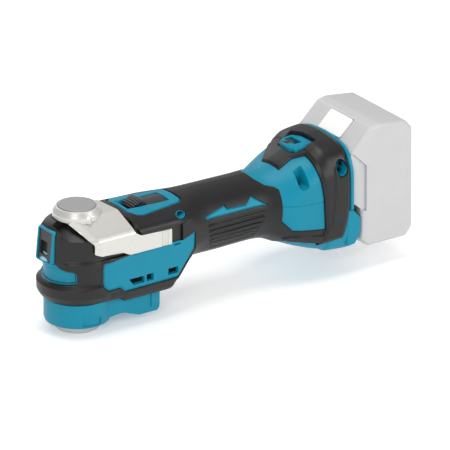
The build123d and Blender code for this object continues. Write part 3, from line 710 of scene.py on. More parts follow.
@dataclass
class Patch:
    """Part of the casing's surface, with the lift of each point along the surface's normal."""

    side: Side
    place: Array
    turn: Array
    points: Array

    def __post_init__(self) -> None:
        """Works out the outward normals and starts with no lift."""
        along = np.gradient(self.points, axis=0)
        up = np.gradient(self.points, axis=1)
        normal = np.cross(along, up) * -self.side.value
        length = np.linalg.norm(normal, axis=-1, keepdims=True)
        self.normal = normal / np.maximum(length, 1e-9)
        self.lift = np.zeros(self.place.shape)

    @property
    def x(self) -> Array:
        """Coordinates along the tool."""
        return self.points[..., 0]

    @property
    def y(self) -> Array:
        """Coordinates across the tool."""
        return self.points[..., 1]

    @property
    def z(self) -> Array:
        """Heights."""
        return self.points[..., 2]

    @property
    def arc(self) -> Array:
        """Length round the nose from its foremost line."""
        return self.turn * NOSE_RADIUS

    @property
    def well_flank(self) -> Array:
        """Whether a point is where the wells are bored: high on the flank and off the middle plane."""
        return (self.z > 70) & (self.y < -8)

    def raised(self) -> Array:
        """The points moved out by their lift; those on the middle plane stay on it.

        Returns:
            The moved points.
        """
        moved = self.points + self.normal * self.lift[..., None]
        for edge in (0, -1):
            moved[:, edge, 1] = 0.0
        return moved

    def flank(self, outline: Points) -> Array:
        """Signed distance to an outline drawn in X and Z."""
        return outline_distance(outline, self.x, self.z)

    def roof(self, outline: Points, mirrored: bool = True) -> Array:
        """Signed distance to an outline drawn in X and Y; below the roof it is large.

        Args:
            outline: the corners; if mirrored, only those on one side of the middle plane count.
            mirrored: whether both sides of the middle plane are alike.

        Returns:
            Distances in millimetres.
        """
        away = outline_distance(outline, self.x, np.abs(self.y) if mirrored else self.y)
        return np.where(self.z > 80, away, 50.0)

    def nose(self, outline: Points) -> Array:
        """Signed distance to an outline drawn round the nose: arc length from the front, and height."""
        return np.where(self.place < 6, outline_distance(outline, self.arc, self.z), 50.0)


# ---- Outlines on the casing ---------------------------------------------------------------
SIDE_PANEL = [(4.9, 60.3), (4.9, 40.9), (9.5, 37.2), (20.0, 37.6), (24.7, 33.4), (75.4, 33.9),
              (90.4, 54.0), (91.0, 67.4), (78.8, 63.2), (68.0, 64.2), (27.0, 62.2)]
ACCENT = [(103.9, 74.5), (104.4, 72.6), (162.0, 71.9), (150.2, 79.7), (143.4, 75.2), (125.5, 76.0),
          (123.8, 78.6)]
RIB_PANEL = [(105.0, 69.2), (160.5, 64.5), (152.0, 46.5), (110.5, 46.0)]
RIBS = ((67.2, 105.5, 160), (63.0, 106, 159), (58.8, 107, 157), (54.6, 108, 155), (50.4, 110, 152.5))
TAIL_WINDOW = [(157.0, 130.0), (157.0, 93.5), (160.5, 88.0), (165.5, 84.4), (172.2, 82.9), (174.6, 81.0),
               (173.0, 57.2), (181.6, 47.8), (214.0, 43.0), (214.0, 34.0), (208.6, 31.4), (190.0, 36.0),
               (182.0, 36.3), (176.0, 33.0),
               (168.0, 26.0), (168.0, 0.0), (260.0, 0.0), (260.0, 130.0)]
STRIP_LEDGE = [(176.0, 40.5), (181.5, 36.9), (190.0, 36.2), (208.6, 31.4), (214.5, 38.6), (182.0, 44.0)]
FRONT_PANEL = [(-5.0, 44.0), (20.0, 45.4), (27.4, 46.6), (26.7, 54.6), (24.8, 56.2), (16.5, 56.8),
               (12.4, 58.4), (9.4, 62.0), (9.4, 70.0), (-5.0, 70.0)]
LIGHT_WINDOW = [(-5.0, 57.0), (10.0, 57.0), (10.0, 86.6), (-5.0, 86.6)]
LIGHT_POCKET = [(-5.0, 61.5), (10.0, 61.5), (10.0, 86.4), (-5.0, 86.4)]
SWITCH_PLATE = [(37.6, -5.0), (37.6, 14.0), (42.5, 19.6), (48.8, 21.0), (86.0, 15.0),
                (90.0, 11.2), (90.0, -5.0)]
SWITCH_SLOT = [(41.4, -9.0), (41.4, 9.2), (80.6, 9.2), (80.6, -9.0)]
DIAL_PLATE = [(197.6, 7.6), (203.4, 12.2), (213.4, 13.6), (217.2, 4.0), (217.6, -12.6),
              (199.6, -12.2), (196.4, -6.0)]
DIAL_SLOT = [(202.0, 8.6), (209.4, 8.6), (209.4, -6.0), (202.0, -6.0)]
PAD = [(179.4, 6.0), (197.0, 21.5), (216.0, 23.0), (216.0, -22.4), (201.0, -16.4), (194.6, -13.4),
       (181.6, -14.2)]
TAIL_BAND = [(203.4, 112.0), (203.4, 105.0), (206.6, 84.0), (209.0, 69.0), (210.2, 44.0), (203.0, 31.0),
             (227.0, 32.4), (232.0, 50.0), (233.4, 62.0), (233.4, 86.0), (233.0, 99.0), (232.6, 112.0)]
BAND_BLOCK = [(216.5, 60.0), (218.5, 91.0), (224.0, 94.0), (240.0, 90.0), (240.0, 40.0), (226.0, 34.0),
              (214.0, 44.0)]
VENTS = ([(28.6, 41.9), (32.4, 36.8), (42.6, 36.8), (42.6, 42.0)],
         [(44.8, 36.9), (51.2, 36.9), (51.2, 42.2), (44.8, 42.2)],
         [(65.4, 37.2), (74.6, 37.4), (74.6, 42.4), (65.4, 42.4)],
         [(71.0, 60.6), (77.0, 61.0), (77.0, 61.9), (71.0, 61.5)])
BAND_SEAT = [(-9.0, 63.7), (78.6, 63.7), (78.6, 77.0), (40.0, 77.4), (34.3, 84.6), (34.3, 110.0), (-9.0, 110.0)]
LEVER_PLAN = [(0.0, 0.0), (-14.0, -2.5), (-60.0, -2.5), (-60.0, -60.0), (34.3, -60.0), (34.3, -24.0),
              (30.2, -14.0), (29.0, -8.0), (28.2, 12.0), (17.0, 17.5)]
HUB_PLAN = [(-12.0, 21.0), (0.0, 0.0), (0.0, -5.0), (29.0, -5.0), (28.2, 12.0), (17.0, 17.5)]


@dataclass(frozen=True)
class Well:
    """A screw well bored across the casing: an oval on the flank, with the plane its floor lies in."""

    x: float
    z: float
    half_x: float
    half_z: float
    floor: float
    rim: float
    top: float = 0.0

    def distance(self, x: Array, z: Array) -> Array:
        """Distance outside the oval, roughly in millimetres; above its middle it first runs straight for top.

        Args:
            x: coordinates along the tool.
            z: heights.

        Returns:
            Distances, negative inside.
        """
        up = np.where(z > self.z, np.maximum(z - self.z - self.top, 0.0), z - self.z)
        away = np.hypot((x - self.x) / self.half_x, up / self.half_z) - 1
        return away * min(self.half_x, self.half_z)


ROOF_WELL = Well(79.6, 82.6, 5.0, 2.5, -20.0, 0.6)
FLANK_WELL = Well(193.0, 82.0, 4.5, 3.2, -22.0, 0.0, 14.0)
BAND_WELL = Well(225.6, 89.8, 4.7, 5.4, -29.0, 3.2)


def seat_height(x: Array, y: Array) -> Array:
    """Highest that the casing may stand under the swinging lever.

    A flat out to 13 mm from the spindle axis, then a cone, which rises again ahead of the lever's sweep.

    Args:
        x: coordinates along the tool.
        y: coordinates across it.

    Returns:
        Heights in millimetres.
    """
    radius = np.where(x < 0, np.hypot(x, y), np.abs(y))
    cone = SEAT_TOP - 0.682 * np.maximum(radius - 13.0, 0.0)
    return cone + np.maximum(-20.6 - x, 0.0) * 1.7


class Layer(Enum):
    """The casing's three layers, from the inside out, and the node that each stands for."""

    SHELL = "housing_"
    SKIN = "rubber_skin_"
    BAND = "tail_bumper"


@dataclass
class Casing:
    """The teal casing halves, the rubber moulded over them and the thick bumper round the tail."""

    form: CasingForm = field(default_factory=CasingForm)
    skin: float = 1.2
    dive: float = -1.2
    stretches: tuple = ((-30.0, 44.0), (44.0, 112.0), (112.0, 178.0), (178.0, 236.0))
    columns: tuple = (300, 200, 150, 170)
    rows: int = 300
    # CAD nodes that a stretch of a layer stands for as well as its own
    also: dict = field(default_factory=lambda: {
        (Layer.SHELL, 1): "switch_bezel", (Layer.SKIN, 0): "head_bumper", (Layer.SKIN, 3): "tail_pad"})

    def under_lever(self, patch: Patch, points: Array, layer: Layer) -> Array:
        """Lowers what would stand in the lever's sweep, and pulls the flank in behind its band.

        Args:
            patch: the patch that the points belong to.
            points: its raised points.
            layer: the shell stays a skin's thickness further in than the rubber.

        Returns:
            The points with the lever's space cleared.
        """
        deeper = 1.0 if layer is Layer.SHELL else 0.0
        x, y, z = points[..., 0], points[..., 1], points[..., 2]
        hub = np.hypot(x, y) - 20.4
        if patch.side is Side.LEFT:
            swept = outline_distance(LEVER_PLAN, x, y)
            inside = np.minimum(swept, hub) < 0
            limit = np.where(swept < 0, seat_height(x, y), SEAT_TOP) - deeper
        else:
            inside = np.minimum(outline_distance(HUB_PLAN, x, y), hub) < 0
            limit = np.full(x.shape, SEAT_TOP - deeper)
        points[..., 2] = np.where(inside & (z > 78), np.minimum(z, limit), z)
        if patch.side is Side.LEFT:
            seat = outline_distance(BAND_SEAT, x, points[..., 2]) < 0
            points[..., 1] = np.where(seat & (x > 0), np.maximum(y, deeper - 29.15), y)
        return points

    def bore(self, patch: Patch, points: Array) -> Array:
        """Sinks the screw wells of the lever's flank straight across to their floors.

        Args:
            patch: the patch that the points belong to.
            points: its raised points.

        Returns:
            The points with the wells sunk.
        """
        if patch.side is Side.LEFT:
            for well in (ROOF_WELL, FLANK_WELL, BAND_WELL):
                inside = 1 - smooth_step(well.distance(patch.x, patch.z), -1.0, -0.5)
                inside = inside * patch.well_flank
                y = points[..., 1]
                points[..., 1] = y + (np.maximum(y, well.floor) - y) * inside
        return points

    def shell_window(self, patch: Patch) -> Array:
        """Where the shell shows through the rubber's windows.

        Args:
            patch: the patch to look at.

        Returns:
            Distances outside the nearest window, negative within one.
        """
        window = np.where(patch.place > 2, patch.flank(SIDE_PANEL), 50.0)
        tail = patch.flank(TAIL_WINDOW)
        pad = patch.roof(PAD, False)
        for other in (patch.flank(ACCENT), np.maximum(tail, -pad), patch.nose(FRONT_PANEL),
                      patch.nose(LIGHT_WINDOW), patch.roof(SWITCH_PLATE), patch.roof(DIAL_PLATE, False)):
            window = np.minimum(window, other)
        if patch.side is Side.LEFT:
            well = np.where(patch.well_flank, ROOF_WELL.distance(patch.x, patch.z), 50.0)
            window = np.minimum(window, well)
        return window

    def shell_lift(self, patch: Patch) -> Array:
        """Details of the teal casing: vents, plates, rims, work-light pocket, rear rim and panel lines.

        Args:
            patch: the patch to detail.

        Returns:
            How far each point stands out.
        """
        x, z = patch.x, patch.z
        lift = np.full(x.shape, 0.25)
        for vent in VENTS:
            lift -= 3.4 * (1 - smooth_step(patch.flank(vent), -0.3, 0.15))
        panel = patch.flank(SIDE_PANEL)
        lift += 0.35 * (1 - smooth_step(panel, -1.3, -0.7)) * (patch.place > 2)
        accent = patch.flank(ACCENT)
        lift += 0.7 * (1 - smooth_step(accent, -1.0, -0.2))
        # the raised plates round the switch and the dial, with the openings in them
        switch, dial = patch.roof(SWITCH_PLATE), patch.roof(DIAL_PLATE, False)
        lift += 1.35 * (1 - smooth_step(switch, -1.1, -0.35))
        lift -= 6.6 * (1 - np.clip((patch.roof(SWITCH_SLOT) + 0.5) / 0.6, 0.0, 1.0))
        lift -= 9.0 * (1 - smooth_step(dial, -2.4, -1.6))
        # pocket of the work light, and the apron under it
        lift -= 4.4 * (1 - smooth_step(patch.nose(LIGHT_POCKET), -0.4, 0.1))
        apron = smooth_step(z, 55.5, 61.5) * (1 - smooth_step(z, 61.5, 62.0))
        lift += 3.0 * apron * (1 - smooth_step(patch.arc, 8.4, 11.0)) * (patch.place < 6)
        front = 1 - smooth_step(patch.nose(FRONT_PANEL), -0.8, 0.2)
        lift -= 1.5 * front * (1 - smooth_step(z, 55.0, 58.5))
        seam = np.where((x > 171) & (x < 216), np.abs(z - 68.9 + (x - 172) * 0.07), 9.0)
        lift -= 0.4 * (1 - smooth_step(seam, 0.15, 0.55))
        rim = smooth_step(x, 232.6, 233.6) * smooth_step(z, 52.0, 56.0)
        lift += (3.0 + 1.6 * smooth_step(z, 90, 103)) * rim
        lift += 1.6 * smooth_step(x, 212.0, 216.0) * (1 - smooth_step(z, 40.0, 52.0))
        if patch.side is Side.LEFT:
            for well in (ROOF_WELL, BAND_WELL):
                lift += well.rim * (1 - smooth_step(well.distance(x, z), -0.4, 0.2)) * patch.well_flank
        return lift

    def skin_lift(self, patch: Patch) -> Array:
        """Details of the rubber: nose bumper, ribs, ridges, tail pad and the lip over the lever's band.

        Args:
            patch: the patch to detail.

        Returns:
            How far each point stands out.
        """
        x, z, place = patch.x, patch.z, patch.place
        lift = np.full(x.shape, self.skin)
        # the bumper round the nose: how far it stands out at each height
        bump = np.interp(z, (24, 26.0, 34, 41.4, 41.8, 44.4, 46.0, 49),
                         (-2.6, -1.2, 2.9, 3.1, 2.9, 0.1, -0.2, 0.0))
        lift += bump * (1 - smooth_step(place + 0.5 * (z - 42), 0.0, 8.0))
        # waist under the upper wall: a bevel between two lines
        waist = np.interp(z, (56.5, 57.0, 62.4, 64.8, 90, 96), (0.0, 0.8, 0.8, -0.8, -0.8, 0.0))
        lift += waist * smooth_step(patch.turn, 0.55, 0.75) * (1 - smooth_step(place, 8, 20))
        # housing of the work light
        hood = (1 - smooth_step(patch.arc, 11.4, 14.4)) * smooth_step(z, 58, 64) * (place < 6)
        lift += 1.5 * hood
        # lip over the lever's band and the ridge above it
        if patch.side is Side.LEFT:
            along = smooth_step(x, 34.5, 37) * (1 - smooth_step(x, 76, 92))
            lift += 2.0 * along * smooth_step(z, 76.8, 77.8) * (1 - smooth_step(z, 79.5, 86))
        ridge = smooth_step(x, 34, 40) * (1 - smooth_step(x, 84, 104))
        lift += 0.9 * ridge * np.exp(-((z - 89.4) / 1.4) ** 2)
        # frame round the side panel
        frame_edge = patch.flank(SIDE_PANEL)
        lift += 0.45 * np.exp(-((frame_edge - 1.2) / 0.8) ** 2) * ((place > 2) & (z < 62))
        # ribs on the grip
        panel = patch.flank(RIB_PANEL)
        lift -= 0.5 * (1 - smooth_step(panel, -0.9, 0.2))
        for height, low, high in RIBS:
            below, above = height - 0.45, height + 0.45
            rib = patch.flank([(low, below), (high, below), (high, above), (low, above)])
            lift += 1.1 * (1 - smooth_step(rib, -0.3, 0.35))
        # the strip under the tail and the pad on top of it
        lift += 1.3 * (1 - smooth_step(patch.flank(STRIP_LEDGE), -1.4, -0.2))
        pad = patch.roof(PAD, False)
        lift += 1.8 * (1 - np.clip((pad + 1.7) / 1.6, 0.0, 1.0)) * smooth_step(x, 176.0, 188.0)
        return lift

    def band_lift(self, patch: Patch) -> Array:
        """Form of the tail bumper: a broad band with chamfered rims and a prouder block low on each flank.

        Args:
            patch: the patch to detail.

        Returns:
            How far each point stands out.
        """
        edge = patch.flank(TAIL_BAND)
        lift = np.interp(-edge, (0.0, 0.5, 3.2, 12.0), (1.4, 1.9, 3.1, 3.3))
        lift += np.interp(-patch.flank(BAND_BLOCK), (0.0, 1.4), (0.0, 0.7))
        lift += 3.4 * smooth_step(patch.z, 90.0, 103.0) * smooth_step(patch.x, 204.0, 215.0)
        return lift

    def layer(self, side: Side, number: int, layer: Layer) -> bpy.types.Object:
        """Makes one layer over one stretch of one half.

        Args:
            side: which half.
            number: which stretch.
            layer: which layer.

        Returns:
            The piece.
        """
        patch = self.form.patch(side, self.stretches[number], self.columns[number], self.rows)
        window = self.shell_window(patch)
        if layer is Layer.SHELL:
            patch.lift, cover = self.shell_lift(patch), window
        elif layer is Layer.SKIN:
            keep = smooth_step(window, -0.25, 0.35)
            patch.lift, cover = self.skin_lift(patch) * keep + self.dive * (1 - keep), -window
        else:
            edge = patch.flank(TAIL_BAND)
            edge = np.maximum(edge, -patch.roof(DIAL_PLATE, False) + 0.2)
            if side is Side.LEFT:
                edge = np.maximum(edge, -BAND_WELL.distance(patch.x, patch.z))
            keep = 1 - smooth_step(edge, -0.35, 0.25)
            patch.lift, cover = self.band_lift(patch) * keep + self.dive * (1 - keep), edge
        points = self.bore(patch, self.under_lever(patch, patch.raised(), layer))
        # the casing's lower hem reaches down over the side lugs of the cover
        x, out, z = points[..., 0], np.abs(points[..., 1]), points[..., 2]
        hem = smooth_step(x, 22.0, 27.0) * (1 - smooth_step(x, 70.0, 76.0))
        hem = hem * smooth_step(out, 22.6, 24.0) * np.clip((33.0 - z) / 6.0, 0.0, 1.0)
        points[..., 2] -= 3.2 * hem
        name = f"{layer.name.lower()}_{side.name.lower()}_{number}"
        finish = Finish.TEAL if layer is Layer.SHELL else Finish.RUBBER
        piece = surface(name, points, finish, flip=side is Side.LEFT, sharp=24.0, shown=cover < 1.6)
        node = layer.value if layer is Layer.BAND else layer.value + side.name.lower()
        return place_piece(piece, "tool_body", node)

    def back(self) -> None:
        """Closes the tail behind with a teal wall: the last section drawn in towards its middle."""
        for side in Side:
            patch = self.form.patch(side, (234.0, 236.0), 3, 200)
            patch.lift = self.shell_lift(patch)
            ring = patch.raised()[-1]
            middle = np.array([236.0, 0.0, 62.0])
            shrink = np.array([1.0, 0.97, 0.94, 0.0])[:, None, None]
            grid = middle + (ring[None] - middle) * shrink
            grid[2:, :, 0] -= 0.8
            name = side.name.lower()
            piece = surface("tail_wall_" + name, grid, Finish.TEAL, flip=side is Side.RIGHT, sharp=30.0)
            place_piece(piece, "tool_body", Layer.SHELL.value + name)
        corners = [(230.0, 23.6), (238.4, 24.6), (243.4, 32.5), (244.0, 45.6), (236.6, 54.0), (230.0, 54.0)]
        outline = soft_path(corners, 2.5)
        place_piece(pillow("tail_flange", outline, 38.6, 2.0, Finish.TEAL), "tool_body", slot="teal_plastic")

    def lining(self) -> None:
        """Near-black plates close behind the vents of both flanks: painted shade for the dark inside the vents.
        """
        outline = soft_path([(26.5, 35.4), (78.5, 35.4), (78.5, 43.4), (26.5, 43.4)], 1.0)
        for side in Side:
            # near-black plate: painted shade at the bottom of the vents
            plate = pillow(f"vent_lining_{side.name.lower()}", outline, 0.4, 0.2, Finish.PIT, side.value * 27.3)
            place_piece(plate, "tool_body", slot="dark_plastic")

    def screws(self) -> None:
        """Sunk socket-head screws at the bottom of the wells."""
        corners = [(0.05, -3.0), (2.7, -3.0), (2.7, 0.0), (1.4, 0.0), (1.2, -1.4), (0.05, -1.4)]
        profile = soft_path(corners, 0.25, 0.5, False)
        for number, seat in enumerate(((80.2, -22.0, 81.8), (192.4, -24.0, 80.9), (225.4, -31.0, 87.4))):
            piece = lathe(f"well_screw_{number}", profile[::-1], Finish.DARK_STEEL, 32, seat, "y")
            place_piece(piece, "tool_body", slot="dark_steel")

    def build(self) -> None:
        """Makes both halves' layers, the dial's plate, the tail's back, the vents' plates and the screws."""
        for side in Side:
            for number in range(len(self.stretches)):
                for layer in (Layer.SHELL, Layer.SKIN):
                    piece = self.layer(side, number, layer)
                    if (layer, number) in self.also:
                        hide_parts(layer.value + side.name.lower(), self.also[layer, number])
            self.layer(side, 3, Layer.BAND)
        plate = bezel("dial_bezel_plate", DIAL_PLATE, DIAL_SLOT, 107.2, 7.0, Finish.TEAL)
        place_piece(plate, "tool_body", "dial_bezel")
        self.back()
        self.lining()
        self.screws()


@dataclass
class Lever:
    """The clamp lever: a coned hub, and a strap from it over the shoulder and back along the flank."""

    outer: tuple = ((10.0, 96.2), (-14.5, 95.9), (-30.2, 83.9), (-32.4, 80.8), (-32.6, 77.6), (-32.6, 76.4))
    inner: tuple = ((10.0, 92.7), (-13.5, 92.7), (-28.7, 82.5), (-29.8, 80.2), (-29.8, 77.6), (-29.8, 76.4))
    # where the bevel along the front starts and ends and where the rear edge is, at each place of the section
    edge: tuple = (-14.0, -16.4, -8.0, -5.4, -3.8, -3.6)
    front: tuple = (-11.5, -12.0, -3.0, -0.6, 1.0, 1.2)
    rear: tuple = (26.0, 28.4, 32.4, 33.4, 38.0, 67.4)
    lower_edge: tuple = ((-3.6, 70.6), (-2.6, 69.9), (1.2, 68.6), (18.0, 68.8), (28.2, 63.8), (67.4, 63.7))
    bevel_mm: float = 2.4
    hub: tuple = ((19.2, 93.2), (19.2, 97.4), (16.6, 101.6), (15.2, 101.6), (15.2, 100.5), (3.8, 100.5))

    def strap(self) -> bpy.types.Object:
        """The strap: rows follow its bent section, columns run from its front edge to its rear one and back.

        Returns:
            The piece, before it is placed.
        """
        counts = (14, 22, 8, 5, 10)
        steps = [np.linspace(i, i + 1, n, endpoint=False) for i, n in enumerate(counts)]
        rows = np.concatenate([*steps, [5.0]])
        flank = np.linspace(0, 1, 26)[1:]
        knots = np.arange(6)
        outer, inner = (np.stack([np.interp(rows, knots, column) for column in zip(*table)], 1)
                        for table in (self.outer, self.inner))
        rounded = slice(14, 50)         # the bend's rows
        for section in (outer, inner):
            smooth = section.copy()
            for _ in range(3):
                smooth[1:-1] = (smooth[:-2] + 2 * smooth[1:-1] + smooth[2:]) / 4
            section[rounded] = smooth[rounded]
        edge, front, rear = (np.interp(rows, knots, table)[:, None]
                             for table in (self.edge, self.front, self.rear))
        slope, across = np.linspace(0, 1, 8)[:-1], np.linspace(0, 1, 90)
        x = np.hstack([edge + (front - edge) * slope, front + (rear - front) * across])
        drop = self.bevel_mm * np.concatenate([1 - slope, 0 * across])
        x = np.vstack([x, np.broadcast_to(x[-1], (len(flank), x.shape[1]))])
        low = np.interp(x[-1], *np.array(self.lower_edge).T)
        along = np.gradient(outer, axis=0)
        inward = np.stack([-along[:, 1], along[:, 0]], 1) / np.linalg.norm(along, axis=1)[:, None]
        inward = np.vstack([inward, np.broadcast_to([1.0, 0.0], (len(flank), 2))])
        walls = []
        for section in (outer, inner):
            y = np.concatenate([section[:, 0], np.full(len(flank), section[-1, 0])])[:, None] + np.zeros_like(x)
            z = np.vstack([section[:, 1][:, None] + np.zeros_like(x[:len(rows)]),
                           STRAP_FOLD_Z + (low - STRAP_FOLD_Z) * flank[:, None]])
            walls.append(np.stack([x, y, z], -1))
        skin, lining = walls
        skin[..., 1:] += inward[:, None] * drop[None, :, None]
        # finger grooves near the tip
        groove = sum(np.exp(-((skin[..., 0] - at) / 0.5) ** 2) for at in (59.0, 61.6, 64.2))
        skin[..., 1] += 0.8 * groove * (skin[..., 2] < 76.6)
        ring = np.concatenate([skin, lining[:, ::-1]], 1)
        piece = surface("lever_strap", ring, Finish.SILVER, ring=True, caps=True, flip=True, sharp=20.0)
        rounding = piece.modifiers.new("rounding", "BEVEL")
        rounding.width, rounding.segments, rounding.limit_method = 0.7 * MM, 3, "ANGLE"
        rounding.angle_limit = math.radians(50.0)
        return piece

    def build(self) -> None:
        """Makes the strap, the hub and the nub at the hub's foot."""
        hub = soft_path(self.hub, (0, 1.6, 0.7, 0.2, 0.2, 0), 0.6, False)
        nub = np.array([(3.6, 93.0), (2.9, 96.6), (1.2, 98.6), (0.05, 99.0)])
        for piece in (self.strap(), lathe("lever_hub", hub, Finish.SILVER, 160),
                      lathe("lever_nub", nub, Finish.SILVER, 4, (-1.6, -18.4, 0.0))):
            place_piece(piece, "lever", "clamp_lever")


@dataclass
class WorkLight:
    """The light in the nose: a thin teal frame, a dark panel with a square opening, and the clear lens's ramp,
    drawn opaque pale blue with its reflected light painted in.
    """

    top_x: float = -29.4
    bottom_x: float = -32.2
    low: float = 61.0
    high: float = 88.4
    half: float = 10.4
    width: float = 1.5

    def front(self, z: Array) -> Array:
        """X of the leaning front plane at a height."""
        return self.bottom_x + (self.top_x - self.bottom_x) * (z - self.low) / (self.high - self.low)

    def ring(self, rows: Sequence[tuple[float, float, float]]) -> Array:
        """Rounded rectangles one inside the other.

        Args:
            rows: for each, how far in from the outline, its corners' radius and its depth.

        Returns:
            Rows x points x 3.
        """
        made = []
        for inset, radius, depth in rows:
            path = rounded_box_path(self.half - inset, self.low + inset, self.high - inset, radius)
            made.append(np.stack([self.front(path[:, 1]) + depth, path[:, 0], path[:, 1]], 1))
        return np.stack(made)

    def build(self) -> None:
        """Makes the frame, the panel and the ramp."""
        w = self.width
        frame_rows = [(0, 2.4, 3.6), (0, 2.4, 0.5), (0.15, 2.3, 0.15), (0.5, 2.0, 0), (w - 0.4, 1.2, 0),
                      (w - 0.1, 1.0, 0.15), (w, 0.9, 0.5), (w, 0.9, 3.4)]
        rim = surface("light_frame", self.ring(frame_rows), Finish.TEAL, ring=True, sharp=30.0)
        place_piece(rim, "tool_body", "led_bezel")
        outer = self.ring([(w - 0.05, 0.9, 1.3)])[0]
        hole = rounded_box_path(5.0, 66.5, 77.5, 0.6)
        hole_at = [np.stack([self.front(hole[:, 1]) + depth, hole[:, 0] + 2.0, hole[:, 1]], 1)
                   for depth in (1.3, 1.5, 4.6)]
        grid = np.stack([outer, outer * 0.5 + hole_at[0] * 0.5, *hole_at])
        grid = np.concatenate([grid, np.broadcast_to(hole_at[2].mean(0), (1, *outer.shape))])
        place_piece(surface("light_panel", grid, Finish.DARK, ring=True, sharp=30.0), "tool_body", "led_panel")
        # the lens's ramp: its pale blue is partly the lens and partly painted reflection
        across, down = np.meshgrid(np.linspace(-1, 1, 25), np.linspace(0, 1, 13), indexing="ij")
        x = self.front(66.6 - 4.8 * down) + 3.6 * (1 - down) ** 1.5 + 0.1 + 1.2 * across ** 2
        ramp = np.stack([x, 5.6 * across + 1.0, 67.4 - 5.4 * down], -1)
        place_piece(surface("light_ramp", ramp, Finish.LENS, sharp=60.0), "tool_body", "led_lens")


def bezel(name: str, outline: Points, slot: Points, top: float, depth: float,
          finish: Finish) -> bpy.types.Object:
    """A crowned plate with bevelled rims and an opening; both outlines are convex.

    Along each ray from the opening's centre, a convex outline is met at the least of its edges' distances
    divided by the cosine between the ray and the edge's normal.

    Args:
        name: the piece's name.
        outline: corners of the rim in X and Y.
        slot: corners of the opening.
        top: height of the crown in the middle plane.
        depth: how far the sides go down.
        finish: what it is made of.

    Returns:
        The piece.
    """
    centre = np.mean(slot, axis=0)
    turns = np.linspace(0, 2 * math.pi, 240, endpoint=False)
    rays = np.stack([np.cos(turns), np.sin(turns)], 1)
    rims = []
    for corners in (outline, slot):
        edge = np.roll(corners, -1, axis=0) - np.array(corners)
        normal = np.stack([edge[:, 1], -edge[:, 0]], 1)
        offset = (normal * (np.array(corners) - centre)).sum(1)
        normal *= np.sign(offset)[:, None]
        facing = rays @ normal.T
        reach = np.where(facing > 1e-6, np.abs(offset) / np.maximum(facing, 1e-6), 1e6).min(1)
        rims.append(rays * reach[:, None])
    wide, narrow = rims
    rows = []
    for rim, inset, drop in ((wide, 0.0, depth), (wide, 0.0, 1.6), (wide, 1.7, 0.0), (narrow, -0.3, 0.0),
                             (narrow, 0.0, 0.35), (narrow, 0.0, 3.4)):
        path = centre + rim - rays * inset
        rows.append(np.column_stack([path, top - drop - 0.006 * path[:, 1] ** 2]))
    return surface(name, np.stack(rows), finish, ring=True, sharp=20.0)


@dataclass
class Switch:
    """The slide switch: a serrated knob on a crowned shutter that fills the slot."""

    half: float = 8.3

    def build(self) -> None:
        """Makes the knob, the shutter and the near-black floor under them, painted shade for the dark slot."""
        teeth = [p for x, z in ((48.2, 91.2), (50.1, 92.1), (52.0, 92.9), (53.9, 93.6))
                 for p in ((x, z), (x + 1.2, z + 0.5), (x + 1.5, z - 0.4), (x + 1.8, z - 0.3))]
        knob = soft_path([(47.6, 87.4), *teeth, (56.2, 94.2), (58.6, 93.2), (60.8, 90.6), (60.8, 87.4)],
                         0.25, 0.5)
        shutter = soft_path([(47.2, 87.4), (47.2, 88.8), (62.0, 89.4), (79.4, 89.2), (79.4, 87.4)], 0.5, 1.2)
        for piece in (pillow("switch_knob", knob, self.half - 0.5, 0.9, Finish.DARK, crown=0.5),
                      pillow("switch_shutter", shutter, self.half, 0.6, Finish.DARK, crown=1.5)):
            place_piece(piece, "slider", "switch_slider")
        # near-black floor: painted shade in the slot under the shutter
        floor = soft_path([(41.6, 85.9), (41.6, 86.7), (80.4, 86.7), (80.4, 85.9)], 0.2, 1.0)
        place_piece(pillow("switch_floor", floor, 9.0, 0.2, Finish.PIT), "tool_body", slot="dark_plastic")


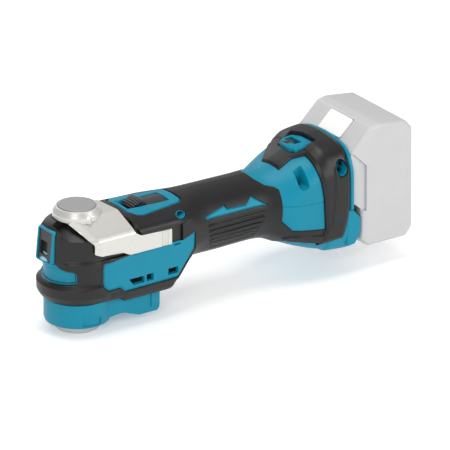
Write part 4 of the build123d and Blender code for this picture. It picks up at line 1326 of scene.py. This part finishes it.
# ---- Stage --------------------------------------------------------------------------------
@dataclass
class Studio:
    """Pale floor, soft light and the camera."""

    azimuth: float = -35.0
    elevation: float = 22.6
    distance: float = 14.0
    target: tuple = (0.1404, 0.0, 0.0510)
    view_width: float = 0.3516

    def floor(self) -> None:
        """A large pale floor just under the tool."""
        far, below = 3000.0, -0.4
        grid = np.array([[[-far, -far, below], [far, -far, below]], [[-far, far, below], [far, far, below]]])
        piece = surface("floor", grid, Finish.PALE, flip=True)
        paint = Paint("floor_white")
        paint.set(Base_Color=(0.92, 0.92, 0.92, 1.0), Roughness=0.9)
        paint.set(Emission_Color=(1.0, 1.0, 1.0, 1.0), Emission_Strength=0.25)
        piece.data.materials[0] = paint.material

    def lights(self) -> None:
        """Big soft lights over, in front of and beside the tool, and a bright even surround."""
        world = bpy.data.worlds.new("surround")
        world.use_nodes = True
        world.node_tree.nodes["Background"].inputs["Color"].default_value = (1, 1, 1, 1)
        world.node_tree.nodes["Background"].inputs["Strength"].default_value = 0.5
        bpy.context.scene.world = world
        for name, place, aim, size, power in (
            ("top_light", (0.05, 0.0, 1.1), (0.12, 0, 0.05), 0.6, 5.5),
            ("front_light", (-0.9, -0.9, 0.7), (0.1, 0, 0.06), 0.5, 6.5),
            ("side_light", (0.7, -1.1, 0.5), (0.15, 0, 0.06), 0.5, 5.5),
            ("back_light", (0.2, 1.1, 0.8), (0.12, 0, 0.06), 0.8, 3.5),
        ):
            light = bpy.data.lights.new(name, "AREA")
            light.size, light.energy = size, power
            lamp = bpy.data.objects.new(name, light)
            lamp.location = place
            away = np.array(place) - np.array(aim)
            tilt = math.atan2(math.hypot(away[0], away[1]), away[2])
            lamp.rotation_euler = (tilt, 0, math.atan2(away[0], -away[1]))
            bpy.context.scene.collection.objects.link(lamp)

    def camera(self) -> None:
        """A long lens far away, so the view is nearly parallel."""
        turn, tilt = math.radians(self.azimuth), math.radians(self.elevation)
        back = np.array([math.sin(turn) * math.cos(tilt), -math.cos(turn) * math.cos(tilt), math.sin(tilt)])
        data = bpy.data.cameras.new("camera")
        data.sensor_width = 36.0
        data.lens = 36.0 * self.distance / self.view_width
        data.clip_start, data.clip_end = 1.0, 60.0
        camera = bpy.data.objects.new("camera", data)
        camera.location = np.array(self.target) + back * self.distance
        camera.rotation_euler = (math.pi / 2 - tilt, 0.0, turn)
        bpy.context.scene.collection.objects.link(camera)
        bpy.context.scene.camera = camera

    def build(self) -> None:
        """Sets the stage."""
        self.floor()
        self.lights()
        self.camera()
        bpy.context.scene.view_settings.view_transform = "Standard"


# ---- Pieces that keep their CAD form ------------------------------------------------------
@dataclass
class Fittings:
    """Pieces whose CAD form only needs rounded corners and a finish."""

    rounded: tuple = (
        ("lever_cap", Finish.CAP, 0.25), ("lower_cover", Finish.TEAL, 0.8), ("tool_holder", Finish.STEEL, 0.3),
        ("pack_case", Finish.PACK, 0.6), ("pack_cover", Finish.PACK, 0.6), ("battery_button", Finish.PALE, 0.8),
    )
    by_slot: dict = field(default_factory=lambda: {
        "teal_plastic": Finish.TEAL, "black_rubber": Finish.RUBBER, "dark_plastic": Finish.DARK,
        "cast_silver": Finish.SILVER, "steel": Finish.STEEL, "dark_steel": Finish.DARK_STEEL,
        "copper": Finish.COPPER, "pack_grey": Finish.PACK, "pale_plastic": Finish.PALE,
        "clear_lens": Finish.LENS, "green_board": Finish.BOARD})

    def build(self) -> None:
        """Rounds the listed pieces and paints the other CAD nodes."""
        for node, finish, bevel in self.rounded:
            dressed(node, finish, bevel)
        for node, piece in frame["nodes"].items():
            piece.data.materials.clear()
            piece.data.materials.append(material(self.by_slot[slot_of(node)]))


def main() -> None:
    """Builds every sub-assembly in order and reports each one."""
    logging.basicConfig(level=logging.INFO, format="%(name)s: %(message)s")
    for sub_assembly in (Casing(), Lever(), WorkLight(), Switch(), Fittings(), Studio()):
        sub_assembly.build()
        LOG.info("built %s", type(sub_assembly).__name__)


if __name__ == "__main__":
    main()
